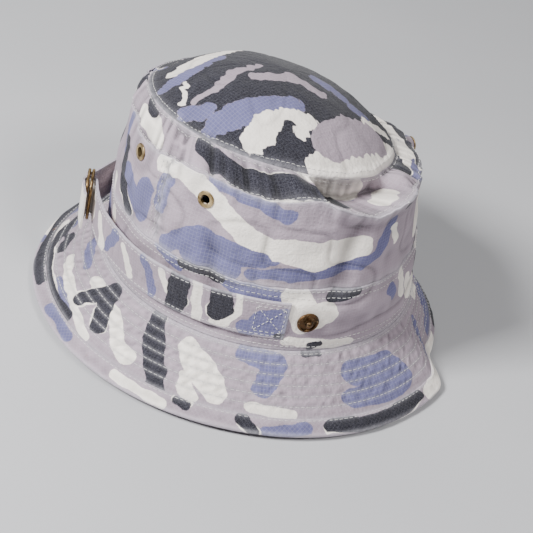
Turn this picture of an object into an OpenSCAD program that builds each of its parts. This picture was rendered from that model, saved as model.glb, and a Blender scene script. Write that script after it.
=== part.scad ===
// Bucket hat: sewn cotton crown and brim, with a side strap, two D-rings,
// a press stud and four vent eyelets. +Z is up, the front is -Y, and the
// edge of the brim rests on z = 0. All sizes are in millimetres.

/* [Head] */
// Inner radius of the sweatband, which fits a 57 cm head
head_r = 90.5; // [86:0.5:98]
// Thickness of one layer of the hat's cloth
cloth_t = 0.7; // [0.5:0.1:0.9]
// Height of the sweatband
sweatband_h = 31; // [26:1:31]

/* [Crown] */
// Height of the lower band that carries the strap
band_h = 39; // [36:1:42]
// Height of the top of the side wall above the brim seam
wall_top_z = 87; // [84:1:92]
// Radius at the top of the side wall
wall_top_r = 88.5; // [86:0.5:91]
// Height of the tip seam above the brim seam
tip_seam_z = 98; // [96:1:104]
// Radius of the tip seam
tip_seam_r = 75; // [70:1:80]
// Rise of the domed tip above its seam
tip_rise = 25.5; // [16:0.5:30]
// Width of the tapes that cover the inside seams
tape_w = 7; // [5:0.5:7]

/* [Brim] */
// Width of the brim along its slope, with its binding
brim_w = 48.5; // [40:0.5:58]
// Slope of the brim below level, in degrees
brim_slope = 38.7; // [20:0.1:45]
// Thickness of the stiffener between the brim's two cloths
stiffener_t = 1; // [0.6:0.1:1.4]
// Width of the binding that wraps the edge
binding_w = 10; // [7:0.5:12]
// Number of stitched rows on the brim, without the binding's own row
brim_rows = 6; // [3:1:7]
// Distance from one row of stitching to the next
row_pitch = 6; // [4:0.5:6]

/* [Strap and rings] */
// Width of the strap
strap_w = 24; // [20:1:25]
// Thickness of the strap, two cloths sewn together
strap_t = 1.2; // [0.8:0.1:1.3]
// Height of the strap's centre line above the brim seam
strap_z = 20; // [18:1:22]
// How much further from the axis the loose part of the strap lies at most
strap_slack = 7.4; // [6:0.1:9]
// Distance from a ring's bar to the middle of its bow
ring_reach = 15; // [14:0.5:18]
// Diameter of the ring wire
ring_wire_d = 1.8; // [1.6:0.1:2]
// Clear height inside a ring
ring_inner_h = 25.5; // [25.5:0.5:28]

/* [Metal fittings] */
// Radius of an eyelet's hole
eyelet_hole_r = 2.7; // [2:0.1:3]
// Radius of an eyelet's flange
eyelet_flange_r = 4.8; // [4.5:0.1:6]
// Height of the right side's eyelets above the brim seam
eyelet_z = 78.5; // [70:0.5:80]
// Height of the left side's eyelets, where the washed crown has sunk
eyelet_left_z = 67.5; // [60:0.5:80]
// Angle between a side seam and each of its eyelets, in degrees
eyelet_spread = 17; // [12:1:22]
// Angle of the press stud from the front, towards the right side
stud_angle = 30; // [27:1:32]
// Radius of the press stud's post
stud_post_r = 2; // [1.6:0.1:2.4]
// Radius of the press stud's cup
stud_cup_r = 6.2; // [5:0.1:7]

/* [Hidden] */
$fn = 96;

// Layers of the lower band, from the head outwards
sweat_r = head_r + cloth_t;
allowance_t = 0.8;
facing_r = sweat_r + allowance_t;
wall_base_r = facing_r + cloth_t;
band_r = wall_base_r + cloth_t;
allowance_h = 7;
tuck_h = 7;

// The brim, in steps along its slope (s) and up from its top face (t)
core_t = 2 * cloth_t + stiffener_t;
core_w = brim_w - cloth_t;
foot_cut = 0.5;
seam_z = brim_w * sin(brim_slope) + (core_t + cloth_t) * cos(brim_slope) - foot_cut;
function brim_point(s, t) = [
  band_r + s * cos(brim_slope) + t * sin(brim_slope),
  seam_z - s * sin(brim_slope) + t * cos(brim_slope)
];

// Side wall
wall_lean = atan((wall_base_r - wall_top_r) / (wall_top_z - band_h));
function wall_r(z) = wall_base_r - (z - band_h) * tan(wall_lean);

// Upper band
upper_slope = atan((tip_seam_z - wall_top_z) / (wall_top_r - tip_seam_r));
upper_rise_t = cloth_t / cos(upper_slope);
upper_side_t = cloth_t / sin(upper_slope);
tape_t = 0.5;

// Tip, a part of a sphere
tip_ball_r = (tip_seam_r * tip_seam_r + tip_rise * tip_rise) / (2 * tip_rise);

// The strap lies on the band, then leaves it on a wider arc whose centre is moved
strap_end_angle = -37;
strap_leave_angle = -45;
strap_split_angle = -117;
ring_angle = -134;
tail_end_angle = -121;
slack_centre = [
  -strap_slack * sin(strap_leave_angle), strap_slack * cos(strap_leave_angle), 0
];
slack_r = band_r + strap_slack;
split_gap_angle = 0.25;
strap_clear = 0.05;

// Points round an arc from angle a0 to a1, measured from the front as on the hat
arc_step = 3;
function arc_points(c, r, a0, a1, first = 0) =
  let (n = ceil(abs(a1 - a0) / arc_step))
    [for (i = [first : n]) let (a = a0 + (a1 - a0) * i / n) [c[0] + r * sin(a), c[1] - r * cos(a)]];
function reversed(points) = [for (i = [len(points) - 1 : -1 : 0]) points[i]];

// Rings, as distances out from the slack arc
ring_wire_r = ring_wire_d / 2;
ring_gap = 1;
inner_ring_out = strap_t + ring_gap + ring_wire_r;
outer_ring_out = inner_ring_out + ring_wire_d + 0.6;
rings_mid_out = (inner_ring_out + outer_ring_out) / 2;
tail_out = outer_ring_out + ring_wire_r + ring_gap + 0.2;
ring_half_h = ring_inner_h / 2 + ring_wire_r;
bow_corner_r = 8;
turn_x = 8;
turn_r = (tail_out - strap_t) / 2;
turn_angle = atan(turn_x / slack_r);
turn_steps = 12;
tail_angle = ring_angle + turn_angle;

// Point on the slack arc, an angle on from the bars and a distance out
function slack_point(a, out) = [
  slack_centre[0] + (slack_r + out) * sin(ring_angle + a),
  slack_centre[1] - (slack_r + out) * cos(ring_angle + a)
];

// Loop that holds the rings' bars
loop_clear = 0.2;
loop_t = 0.7;
loop_anchor_angle = -158;
loop_sewn_angle = 13;
slot_steps = 8;

thread_r = 0.25;
thread_sink = 0.15;
thread_out = thread_r - thread_sink;

eyelet_barrel_t = 0.4;
eyelet_angles = [
  -90 - eyelet_spread, -90 + eyelet_spread, 90 - eyelet_spread, 90 + eyelet_spread
];
stud_shank_r = 1.5;

// Turns children to an angle from the front, which is positive towards the left side (+X)
module at_angle(a) rotate([0, 0, a]) children();

// Local frame on the lower band: +Z points outwards, +Y up
module on_band(a, z) at_angle(a) translate([0, -band_r, seam_z + z]) rotate([90, 0, 0]) children();

// Eyelets at positive angles are on the left side
function eyelet_height(a) = a > 0 ? eyelet_left_z : eyelet_z;

// Local frame on the side wall at eyelet height: +Z points outwards
module on_wall(a)
  at_angle(a)
    translate([0, -wall_r(eyelet_height(a)), seam_z + eyelet_height(a)]) rotate([90 - wall_lean, 0, 0]) children();

// Local frame on the slack arc at a ring's bar: +X runs to the front, -Y points outwards
module at_rings(out)
  translate(slack_centre) rotate([0, 0, ring_angle])
    translate([0, -slack_r - out, seam_z + strap_z]) children();

// Flat ring or part of one, from angle a0 to a1, spun about Z
module arc_band(r, t, h, a0, a1)
  rotate([0, 0, a0 - 90]) rotate_extrude(angle = a1 - a0) translate([r, -h / 2]) square([t, h]);

// Thread laid round an arc of radius r
module thread_arc(r, a0, a1)
  rotate([0, 0, a0 - 90]) rotate_extrude(angle = a1 - a0) translate([r, 0]) circle(r = thread_r, $fn = 24);

module thread_ring(r, z)
  rotate_extrude() translate([r, z]) circle(r = thread_r, $fn = 24);

// One layer of the brim between two heights over a stretch of its slope
module brim_layer(s0, s1, t0, t1)
  rotate_extrude()
    polygon([brim_point(s0, t0), brim_point(s1, t0), brim_point(s1, t1), brim_point(s0, t1)]);

// Domed tip: a shell between two spheres
module crown_tip()
  color("lightsteelblue")
    intersection() {
      translate([0, 0, seam_z + tip_seam_z + tip_rise - tip_ball_r])
        difference() {
          sphere(r = tip_ball_r);
          sphere(r = tip_ball_r - cloth_t);
        }
      translate([0, 0, seam_z + tip_seam_z - 2]) cylinder(r = tip_seam_r, h = tip_rise + 4);
    }

// Gathered band between the side wall and the tip
module upper_band()
  color("slategray")
    rotate_extrude()
      polygon([
        [wall_top_r, seam_z + wall_top_z],
        [tip_seam_r, seam_z + tip_seam_z],
        [tip_seam_r, seam_z + tip_seam_z - upper_rise_t],
        [wall_top_r - upper_side_t, seam_z + wall_top_z]
      ]);

// Half of the side wall, whose lower edge is tucked behind the lower band
module side_wall(a0)
  difference() {
    rotate([0, 0, a0])
      rotate_extrude(angle = 180)
        polygon([
          [facing_r, seam_z + band_h - tuck_h],
          [wall_base_r, seam_z + band_h - tuck_h],
          [wall_base_r, seam_z + band_h],
          [wall_top_r, seam_z + wall_top_z],
          [wall_top_r - cloth_t, seam_z + wall_top_z],
          [facing_r, seam_z + band_h]
        ]);
    for (a = eyelet_angles)
      on_wall(a) translate([0, 0, -5]) cylinder(r = eyelet_hole_r + eyelet_barrel_t, h = 8);
  }

module side_wall_front() color("lightsteelblue") side_wall(180);
module side_wall_back() color("lavender") side_wall(0);

// Lower band, with the hole of the press stud
module lower_band()
  color("lavender")
    difference() {
      translate([0, 0, seam_z + band_h / 2]) arc_band(wall_base_r, cloth_t, band_h, 0, 360);
      on_band(-stud_angle, strap_z) translate([0, 0, -3]) cylinder(r = stud_shank_r, h = 4);
    }

// Second cloth behind the lower band, below the tucked edge of the side wall
module lower_band_facing() {
  facing_h = band_h - tuck_h - 0.5;
  color("gainsboro")
    difference() {
      translate([0, 0, seam_z + facing_h / 2]) arc_band(facing_r, cloth_t, facing_h, 0, 360);
      on_band(-stud_angle, strap_z) translate([0, 0, -3]) cylinder(r = stud_shank_r, h = 4);
    }
}

// Band against the forehead, with its lower edge in the brim seam
module sweatband() {
  below_seam = 1.3;
  color("whitesmoke")
    translate([0, 0, seam_z - below_seam + sweatband_h / 2])
      arc_band(head_r, cloth_t, sweatband_h, 0, 360);
}

// Edges of the brim's cloths, turned up inside the seam
module brim_seam_allowance()
  color("gainsboro")
    rotate_extrude()
      polygon([
        [sweat_r, brim_point(0, -core_t)[1]],
        brim_point(0, -core_t),
        [band_r, seam_z],
        [facing_r, seam_z],
        [facing_r, seam_z + allowance_h],
        [sweat_r, seam_z + allowance_h]
      ]);

module brim_top() color("lightsteelblue") brim_layer(0, core_w, -cloth_t, 0);
module brim_stiffener() color("white") brim_layer(0, core_w, cloth_t - core_t, -cloth_t);
module brim_under() color("slategray") brim_layer(0, core_w, -core_t, cloth_t - core_t);

// Bias strip round the edge of the brim, with a narrow flat foot
module brim_binding() {
  inner_s = brim_w - binding_w;
  under_t = -core_t - cloth_t;
  color("lightsteelblue")
    intersection() {
      rotate_extrude()
        polygon([
          brim_point(inner_s, 0), brim_point(core_w, 0),
          brim_point(core_w, -core_t), brim_point(inner_s, -core_t),
          brim_point(inner_s, under_t), brim_point(brim_w, under_t),
          brim_point(brim_w, cloth_t), brim_point(inner_s, cloth_t)
        ]);
      cylinder(r = 2 * band_r, h = 2 * band_r);
    }
}

// Tapes over the two side seams, inside the wall
module side_seam_tapes() {
  half_angle = 4;
  low = band_h + 1;
  high = wall_top_z - 1;
  color("gainsboro")
    for (a = [-90, 90])
      at_angle(a - 90 - half_angle)
        rotate_extrude(angle = 2 * half_angle)
          polygon([
            [wall_r(low) - cloth_t, seam_z + low],
            [wall_r(high) - cloth_t, seam_z + high],
            [wall_r(high) - cloth_t - tape_t, seam_z + high],
            [wall_r(low) - cloth_t - tape_t, seam_z + low]
          ]);
}

// Tape over the seam at the top of the wall, laid under the upper band
module wall_seam_tape() {
  up = [-cos(upper_slope), sin(upper_slope)];
  down = [-sin(upper_slope), -cos(upper_slope)];
  start = [wall_top_r - upper_side_t, seam_z + wall_top_z];
  color("gainsboro")
    rotate_extrude()
      polygon([
        start,
        start + tape_w * up,
        start + tape_w * up + tape_t * down,
        start + tape_t * down
      ]);
}

// Tape over the tip seam, under the upper band
module tip_seam_tape() {
  tape_run = tape_w * cos(upper_slope);
  tape_fall = tape_w * sin(upper_slope);
  top = seam_z + tip_seam_z - upper_rise_t;
  color("gainsboro")
    rotate_extrude()
      polygon([
        [tip_seam_r, top],
        [tip_seam_r + tape_run, top - tape_fall],
        [tip_seam_r + tape_run, top - tape_fall - tape_t],
        [tip_seam_r, top - tape_t]
      ]);
}

// Solid of the strap's width that stands on an outline
module strap_solid(outline, w)
  translate([0, 0, seam_z + strap_z - w / 2]) linear_extrude(height = w) polygon(outline);

// One face of the strap, a distance out from the band
function strap_face(out) = concat(
  arc_points([0, 0], band_r + out, strap_end_angle, strap_leave_angle),
  arc_points(slack_centre, slack_r + out, strap_leave_angle, strap_split_angle, 1)
);

// Strap, sewn down at its front end and loose further back
module strap()
  color("lavender")
    strap_solid(
      concat(strap_face(strap_clear), reversed(strap_face(strap_clear + strap_t))), strap_w
    );

// Half circle that turns the strap round inside the rings; t = 0 is its inner face
function turn_points(t) =
  let (c = slack_point(turn_angle, (tail_out + strap_t) / 2))
    [for (i = [1 : turn_steps - 1])
      let (a = tail_angle + 180 * i / turn_steps)
        [c[0] - (turn_r + t) * sin(a), c[1] + (turn_r + t) * cos(a)]];

// One face of the tail; t = 0 is the face towards the rings
function tail_face(t) = concat(
  arc_points(slack_centre, slack_r + strap_t - t, strap_split_angle - split_gap_angle, tail_angle),
  turn_points(t),
  arc_points(slack_centre, slack_r + tail_out + t, tail_angle, tail_end_angle)
);

// Back end of the strap: it goes out through both rings and folds forward over them
module strap_tail()
  color("white") strap_solid(concat(tail_face(0), reversed(tail_face(strap_t))), strap_w);

// Wire ring: a straight bar, two legs and a bow with round corners
module d_ring(out)
  color("peru")
    at_rings(out) {
      bow_x = ring_reach - bow_corner_r;
      bow_z = ring_half_h - bow_corner_r;
      translate([0, 0, -ring_half_h]) cylinder(r = ring_wire_r, h = 2 * ring_half_h, $fn = 32);
      translate([ring_reach, 0, -bow_z]) cylinder(r = ring_wire_r, h = 2 * bow_z, $fn = 32);
      for (side = [-1, 1])
        translate([0, 0, side * ring_half_h]) {
          sphere(r = ring_wire_r, $fn = 32);
          rotate([0, 90, 0]) cylinder(r = ring_wire_r, h = bow_x, $fn = 32);
        }
      translate([bow_x, 0, bow_z]) rotate([90, 0, 0])
        rotate_extrude(angle = 90) translate([bow_corner_r, 0]) circle(r = ring_wire_r, $fn = 32);
      translate([bow_x, 0, -bow_z]) rotate([90, 0, 0]) rotate([0, 0, -90])
        rotate_extrude(angle = 90) translate([bow_corner_r, 0]) circle(r = ring_wire_r, $fn = 32);
    }

module d_ring_outer() d_ring(outer_ring_out);
module d_ring_inner() d_ring(inner_ring_out);

// Rounded slot round both bars
function bar_slot(r) = concat(
  [for (i = [0 : slot_steps]) loop_point(slot_out(inner_ring_out), r, 180 + 180 * i / slot_steps)],
  [for (i = [0 : slot_steps]) loop_point(slot_out(outer_ring_out), r, 180 * i / slot_steps)]
);
function slot_out(out) = out - rings_mid_out;

// Point at a radius r round a bar, which lies a distance out from the middle of the loop
function loop_point(out, r, a) =
  let (x = r * cos(a), y = -out - r * sin(a), m = slack_point(0, rings_mid_out))
    [m[0] + x * cos(ring_angle) - y * sin(ring_angle), m[1] + x * sin(ring_angle) + y * cos(ring_angle)];

// Cloth loop round both bars, whose two layers run back and are sewn to the band
module ring_loop() {
  hole_r = ring_wire_r + loop_clear;
  loop_w = strap_w - 1;
  sewn_end = loop_anchor_angle - loop_sewn_angle;
  low_r = band_r + strap_clear;
  high_r = low_r + 2 * loop_t;
  mid = slack_point(0, rings_mid_out);
  foot = [high_r * sin(loop_anchor_angle), -high_r * cos(loop_anchor_angle)];
  run = (foot - mid) / norm(foot - mid);
  side = [-run[1], run[0]] * loop_t;
  start = mid + run * (hole_r + loop_t / 2);
  strip = concat(
    [start - side],
    reversed(arc_points([0, 0], low_r, sewn_end, loop_anchor_angle)),
    arc_points([0, 0], high_r, sewn_end, loop_anchor_angle),
    [start + side]
  );
  color("gainsboro")
    difference() {
      union() {
        strap_solid(bar_slot(hole_r + loop_t), loop_w);
        strap_solid(strip, loop_w);
      }
      strap_solid(bar_slot(hole_r), loop_w + 2);
    }
}

// Press stud: dished cup, central post and the shank through the band
module press_stud() {
  bead_r = 0.8;
  base_t = 0.6;
  neck_h = 3.2;
  color("peru")
    on_band(-stud_angle, strap_z) {
      rotate_extrude() translate([stud_cup_r - bead_r, bead_r]) circle(r = bead_r, $fn = 32);
      cylinder(r = stud_cup_r - bead_r, h = base_t);
      cylinder(r = stud_post_r, h = neck_h);
      intersection() {
        translate([0, 0, neck_h - stud_post_r / 2]) sphere(r = stud_post_r * 1.118, $fn = 48);
        translate([0, 0, neck_h]) cylinder(r = stud_post_r, h = stud_post_r);
      }
      translate([0, 0, -3 * cloth_t]) cylinder(r = stud_shank_r - 0.05, h = 3 * cloth_t);
    }
}

// Plate behind the facing that the shank is set into
module press_stud_back()
  color("peru")
    on_band(-stud_angle, strap_z)
      translate([0, 0, -2 * cloth_t - 0.7])
        difference() {
          cylinder(r = 5.5, h = 0.5);
          translate([0, 0, -1]) cylinder(r = stud_shank_r - 0.05, h = 2);
        }

// Four eyelets: a rounded flange outside and a barrel through the wall
module eyelets() {
  flange_t = 0.9;
  barrel_back = 1.5;
  barrel_r = eyelet_hole_r + eyelet_barrel_t;
  color("peru")
    for (a = eyelet_angles)
      on_wall(a)
        difference() {
          union() {
            translate([0, 0, -barrel_back]) cylinder(r = barrel_r, h = barrel_back + flange_t / 2);
            translate([0, 0, flange_t / 2])
              rotate_extrude() translate([eyelet_flange_r - flange_t / 2, 0]) circle(d = flange_t, $fn = 32);
            cylinder(r = eyelet_flange_r - flange_t / 2, h = flange_t);
          }
          translate([0, 0, -barrel_back - 1]) cylinder(r = eyelet_hole_r, h = barrel_back + 4);
        }
}

// Washers on the inside of the wall, under the eyelets' rolled ends
module eyelet_washers()
  color("darkgoldenrod")
    for (a = eyelet_angles)
      on_wall(a)
        translate([0, 0, -cloth_t - 0.7])
          difference() {
            cylinder(r = eyelet_flange_r, h = 0.5);
            translate([0, 0, -1]) cylinder(r = eyelet_hole_r + eyelet_barrel_t, h = 2);
          }

// Rows of stitching round the brim, and the row that holds the binding
module brim_stitching() {
  first = 2;
  color("white") {
    for (row = [0 : brim_rows - 1]) {
      p = brim_point(first + row * row_pitch, thread_out);
      thread_ring(p[0], p[1]);
    }
    edge = brim_point(brim_w - binding_w + 1.3, cloth_t + thread_out);
    thread_ring(edge[0], edge[1]);
  }
}

// Two rows above the brim seam and two below the top of the lower band
module band_stitching()
  color("white")
    for (z = [3, 7, band_h - 5, band_h - 1.5])
      thread_ring(band_r + thread_out, seam_z + z);

// One row beside each seam of the upper band
module crown_stitching() {
  inset = 1.6;
  out = thread_out;
  color("white")
    for (s = [inset, norm([wall_top_r - tip_seam_r, tip_seam_z - wall_top_z]) - inset])
      thread_ring(
        wall_top_r - s * cos(upper_slope) + out * sin(upper_slope),
        seam_z + wall_top_z + s * sin(upper_slope) + out * cos(upper_slope)
      );
}

// Double rows beside each side seam, as straight threads on the wall
module side_seam_stitching() {
  low = band_h + 1;
  run = (wall_top_z - 1 - low) / cos(wall_lean);
  row_angle = 1.6;
  color("white")
    for (a = [-90, 90], row = [-2 * row_angle, -row_angle])
      at_angle(a + row)
        translate([0, -wall_r(low) - thread_out, seam_z + low])
          rotate([-wall_lean, 0, 0]) cylinder(r = thread_r, h = run, $fn = 24);
}

// Rows along both edges of the strap
module strap_stitching()
  color("white")
    for (side = [-1, 1])
      translate([0, 0, seam_z + strap_z + side * (strap_w / 2 - 2)]) {
        thread_arc(
          band_r + strap_clear + strap_t + thread_out, strap_leave_angle + 0.2, strap_end_angle - 1
        );
        translate(slack_centre)
          thread_arc(
            slack_r + strap_clear + strap_t + thread_out, strap_split_angle + 0.5, strap_leave_angle - 0.2
          );
      }

// Box with a cross in it, sewn through the strap's front end
module strap_box_stitching() {
  half = 8;
  corner_gap = 2.5 * thread_r;
  half_angle = asin(half / band_r);
  middle = strap_end_angle - half_angle - 1;
  out = band_r + strap_clear + strap_t + thread_out;
  upright = 2 * (half - corner_gap);
  diagonal = sqrt(2) * upright;
  color("white") {
    for (side = [-1, 1]) {
      translate([0, 0, seam_z + strap_z + side * half])
        thread_arc(out, middle - half_angle, middle + half_angle);
      at_angle(middle + side * half_angle)
        translate([0, -out, seam_z + strap_z - upright / 2])
          cylinder(r = thread_r, h = upright, $fn = 24);
      at_angle(middle)
        translate([0, -out - (1 + side) * 1.1 * thread_r, seam_z + strap_z])
          rotate([0, side * 45, 0])
            translate([0, 0, -diagonal / 2]) cylinder(r = thread_r, h = diagonal, $fn = 24);
    }
  }
}

crown_tip();
upper_band();
side_wall_front();
side_wall_back();
lower_band();
lower_band_facing();
sweatband();
brim_seam_allowance();
brim_top();
brim_stiffener();
brim_under();
brim_binding();
side_seam_tapes();
wall_seam_tape();
tip_seam_tape();
strap();
strap_tail();
ring_loop();
d_ring_outer();
d_ring_inner();
press_stud();
press_stud_back();
eyelets();
eyelet_washers();
brim_stitching();
band_stitching();
crown_stitching();
side_seam_stitching();
strap_stitching();
strap_box_stitching();
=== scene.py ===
# %% [markdown]
# # A washed camouflage bucket hat
# The hat is a stack of thin sewn cloth pieces with a little brass on it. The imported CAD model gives
# every size and place, so it is loaded first and stays as it is. The soft pieces are then built over it
# as real layers of cloth, each as thick as its cloth, and the metal keeps its own shape.

# %% Load the frame
import bmesh
import bpy
import numpy as np
from mathutils import Matrix, Vector


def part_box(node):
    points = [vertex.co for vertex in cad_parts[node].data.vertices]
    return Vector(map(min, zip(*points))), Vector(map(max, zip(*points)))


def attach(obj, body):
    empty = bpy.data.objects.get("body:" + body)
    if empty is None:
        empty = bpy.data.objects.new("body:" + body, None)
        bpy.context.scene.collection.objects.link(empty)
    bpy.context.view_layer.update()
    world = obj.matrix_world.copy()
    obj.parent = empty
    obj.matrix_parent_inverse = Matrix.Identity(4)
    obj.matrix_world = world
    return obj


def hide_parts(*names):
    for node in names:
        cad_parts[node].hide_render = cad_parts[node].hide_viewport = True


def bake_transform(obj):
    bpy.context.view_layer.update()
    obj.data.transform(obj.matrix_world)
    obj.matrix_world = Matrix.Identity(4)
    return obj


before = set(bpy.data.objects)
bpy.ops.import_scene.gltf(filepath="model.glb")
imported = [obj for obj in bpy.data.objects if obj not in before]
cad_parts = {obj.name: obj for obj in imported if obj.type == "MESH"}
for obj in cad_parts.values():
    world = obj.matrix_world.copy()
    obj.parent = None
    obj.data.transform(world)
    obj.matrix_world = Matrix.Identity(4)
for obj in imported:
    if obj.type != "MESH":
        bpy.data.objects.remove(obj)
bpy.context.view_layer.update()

# %% [markdown]
# ## Measures
# A hat maker works from a few measures: the radius and height of each seam, the brim's width and its
# slope. The band's radius, height and place and the wall's height are read here from the imported
# pieces, so that a change of size in the CAD carries through for them; the others are given as numbers.
# Lengths are in millimetres until a mesh is made. Angles are in degrees from the front of the hat,
# positive towards the wearer's left.

# %% Measures of the hat
def box_mm(node):
    low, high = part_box(node)
    return np.array(low) * 1000, np.array(high) * 1000

CLOTH = 0.7
band_low, band_high = box_mm("lower_band")
BAND_R = band_high[0]
SEAM_Z = band_low[2]
BAND_H = band_high[2] - band_low[2]
WALL_TOP_Z = box_mm("side_wall_front")[1][2] - SEAM_Z
WALL_TOP_R = 88.5
WALL_LEAN = (BAND_R - CLOTH - WALL_TOP_R) / (WALL_TOP_Z - BAND_H)
BRIM_W = 48.5
BRIM_SLOPE = np.radians(38.7)
TIP_R = 71.5
EYELETS = [(-107, 78.5), (-73, 78.5), (73, 67.5), (107, 67.5)]
STUD_ANGLE, STUD_Z = -30, 20
print("band radius", round(BAND_R, 2), "seam height", round(SEAM_Z, 2), "wall top", round(WALL_TOP_Z, 2))

# %% [markdown]
# ## Soft noise and soft bumps
# Worn cloth is never smooth. Two helpers make its unevenness: clouds are soft random hills on a grid
# that joins up with itself round the hat, and bumps are single soft hills. Both are seeded, so that the
# hat comes out the same each time.

# %% Clouds and bumps
def ease(x):
    x = np.clip(x, 0, 1)
    return x * x * (3 - 2 * x)

def clouds(angle, height, cells_round, cell_height, seed):
    rng = np.random.default_rng(seed)
    rows = 64
    hills = rng.random((rows, cells_round))
    x = np.mod(np.asarray(angle, float) / 360, 1) * cells_round
    y = np.asarray(height, float) / cell_height + rows / 2
    x, y = np.broadcast_arrays(x, y)
    column, row = np.floor(x).astype(int), np.floor(y).astype(int)
    across, up = ease(x - column), ease(y - row)
    here = lambda r, c: hills[np.mod(r, rows), np.mod(c, cells_round)]
    low = here(row, column) * (1 - across) + here(row, column + 1) * across
    high = here(row + 1, column) * (1 - across) + here(row + 1, column + 1) * across
    return (low * (1 - up) + high * up) * 2 - 1

def turn_between(angle, centre):
    return (np.asarray(angle, float) - centre + 180) % 360 - 180

def bump(angle, centre, half_width):
    away = np.abs(turn_between(angle, centre)) / half_width
    return np.where(away < 1, np.cos(np.clip(away, 0, 1) * np.pi / 2) ** 2, 0)

def plateau(angle, first, last, edge):
    middle, half = (first + last) / 2, (last - first) / 2
    return ease((half - np.abs(turn_between(angle, middle))) / edge + 0.5)

def outwards(angle):
    a = np.radians(angle)
    return np.stack([np.sin(a), -np.cos(a), np.zeros_like(a)], -1)

# %% [markdown]
# ## The slump of the hat
# The CAD hat is turned and even. A washed one slumps: its side is pushed in a little on the left, its
# cloth ripples, and it pulls tight round the eyelets and the press stud, because the metal is clamped
# there. One function gives how far the cloth moves outwards at each place, and every layer uses the
# same one, so that the layers never cut through each other.

# %% How the cloth moves
def calm(angle, height, reach=1.0):
    """0 beside the metal fittings, rising to 1 away from them."""
    out = np.ones(np.broadcast(angle, height).shape)
    for at, up, r in [(a, z, 7) for a, z in EYELETS] + [(STUD_ANGLE, STUD_Z, 9)]:
        away = np.hypot(np.radians(turn_between(angle, at)) * 90, height - up)
        out = out * ease((away / reach - r) / 9)
    return out

def creases(angle, height, cells_round, cell_height, seed):
    """Thin sharp folds, 1 along a crease and 0 away from it."""
    return (1 - np.abs(clouds(angle, height, cells_round, cell_height, seed))) ** 9

FRONT_FOLD, SIDE_FOLD, FRONT_RIDGE = -25, -62, -12

def fold_line(angle, centre, width):
    """1 along an upright fold, falling off smoothly within its width in degrees."""
    return np.exp(-(turn_between(angle, centre) / width) ** 2)

def push(angle, height):
    """Outward move of the crown's cloth, in mm, at a height above the brim seam."""
    dent_depth = 5.5 * ease((height - 3) / 18) + 3.5 * ease((height - 40) / 25)
    side_dent = -bump(angle, 42, 64) * dent_depth
    lean = -1.3 * ease((height - 22) / 16) * (1 - ease((height - 42) / 20))
    free = ease(height / 8)
    folds = -3.4 * fold_line(angle, FRONT_FOLD + height * 0.08, 4.5) * ease((height - 30) / 20)
    folds = folds - 2.2 * fold_line(angle, SIDE_FOLD - height * 0.1, 4) * ease((70 - height) / 20)
    folds = folds + 1.5 * fold_line(angle, FRONT_RIDGE, 6) * ease((height - 45) / 20)
    soft = 1.6 * clouds(angle, height, 11, 24, 1) + 1.0 * clouds(angle, height, 27, 13, 2)
    fine = 0.4 * clouds(angle, height, 80, 9, 3) - 0.8 * creases(angle, height, 19, 21, 4)
    return (side_dent + lean + (soft + fine + folds) * free) * calm(angle, height)

print("the wall moves between", np.round(push(np.arange(360.0)[:, None], np.arange(0, 80.0)).min(), 1),
      "and", np.round(push(np.arange(360.0)[:, None], np.arange(0, 80.0)).max(), 1), "mm")

# %% [markdown]
# ## The crown's surface
# The crown is one line turned round the hat: up the side wall, over the upper band and across the
# tip. Its place along the line is a number, 0 to 1 on the wall, 1 to 2 on the upper band and 2 to 3 on
# the tip. On this hat the line changes as it goes round. The tip is smaller than the wall and sits
# tilted, and in two places the upper band has sunk and left the wall's top edge standing as a lip.

# %% The line of the crown
SCOOP = (-33, 9)
BACK_FOLD = (-196, -150)
TIP_CENTRE = np.array([-6.0, 7.0])
TIP_Z, TIP_TILT = 92.0, np.array([-0.157, -0.005])
TIP_RISE = 28.0

def seam_puckers(angle, cells, seed):
    return clouds(angle, 0, cells, 10, seed) + 0.5 * clouds(angle, 0, cells * 2 + 1, 10, seed + 1)

SCOOP_LEFT, SCOOP_RIGHT = -33, 14

def scoop_at(angle):
    """1 in the sunken part of the upper band, with a sharp left end and a soft right one."""
    return ease(turn_between(angle, SCOOP_LEFT) / 6) * ease(turn_between(SCOOP_RIGHT, angle) / 12)

def wall_top(angle):
    """Radius and height of the seam between the wall and the upper band."""
    scoop, fold = plateau(angle, *SCOOP, 12), plateau(angle, *BACK_FOLD, 14)
    sunk = np.cos(np.radians(angle - 96))
    r = WALL_TOP_R - 0.6 + 1.2 * scoop - 0.5 * fold - 8.0 * bump(angle, 92, 72)
    r = r - 2.0 * bump(angle, 30, 36)
    z = WALL_TOP_Z - 3.6 - 6.4 * sunk - 2.5 * bump(angle, 95, 62) + 1.0 * bump(angle, -66, 30)
    z = z - 1.0 * scoop + 2.5 * fold + 7.0 * bump(angle, -33, 22) + 6.0 * bump(angle, 1, 15)
    z = z + 4 * bump(angle, 12, 14) - 3.5 * bump(angle, -106, 22) + 1.0 * clouds(angle, 0, 14, 10, 5)
    return r, z

def tip_edge(angle):
    """Points of the seam round the tip."""
    scoop, fold = plateau(angle, *SCOOP, 14), plateau(angle, *BACK_FOLD, 14)
    r = TIP_R + 0.8 * clouds(angle, 0, 12, 10, 7) + 2.2 * scoop + 1.0 * fold
    flat = outwards(angle)[..., :2] * r[..., None]
    z = TIP_Z + flat @ TIP_TILT
    return flat + TIP_CENTRE, z

print("wall top heights", np.round(wall_top(np.array([-90.0, -60, -15, 40, 180]))[1], 1))

# %% [markdown]
# The line is worked out for all angles and places at once, as a grid of points. A cloth layer is a part
# of that grid, moved in from the outer face by the layers that lie over it.

# %% Points on the crown
def wall_cone(z):
    return BAND_R - CLOTH - (z - BAND_H) * WALL_LEAN

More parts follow.
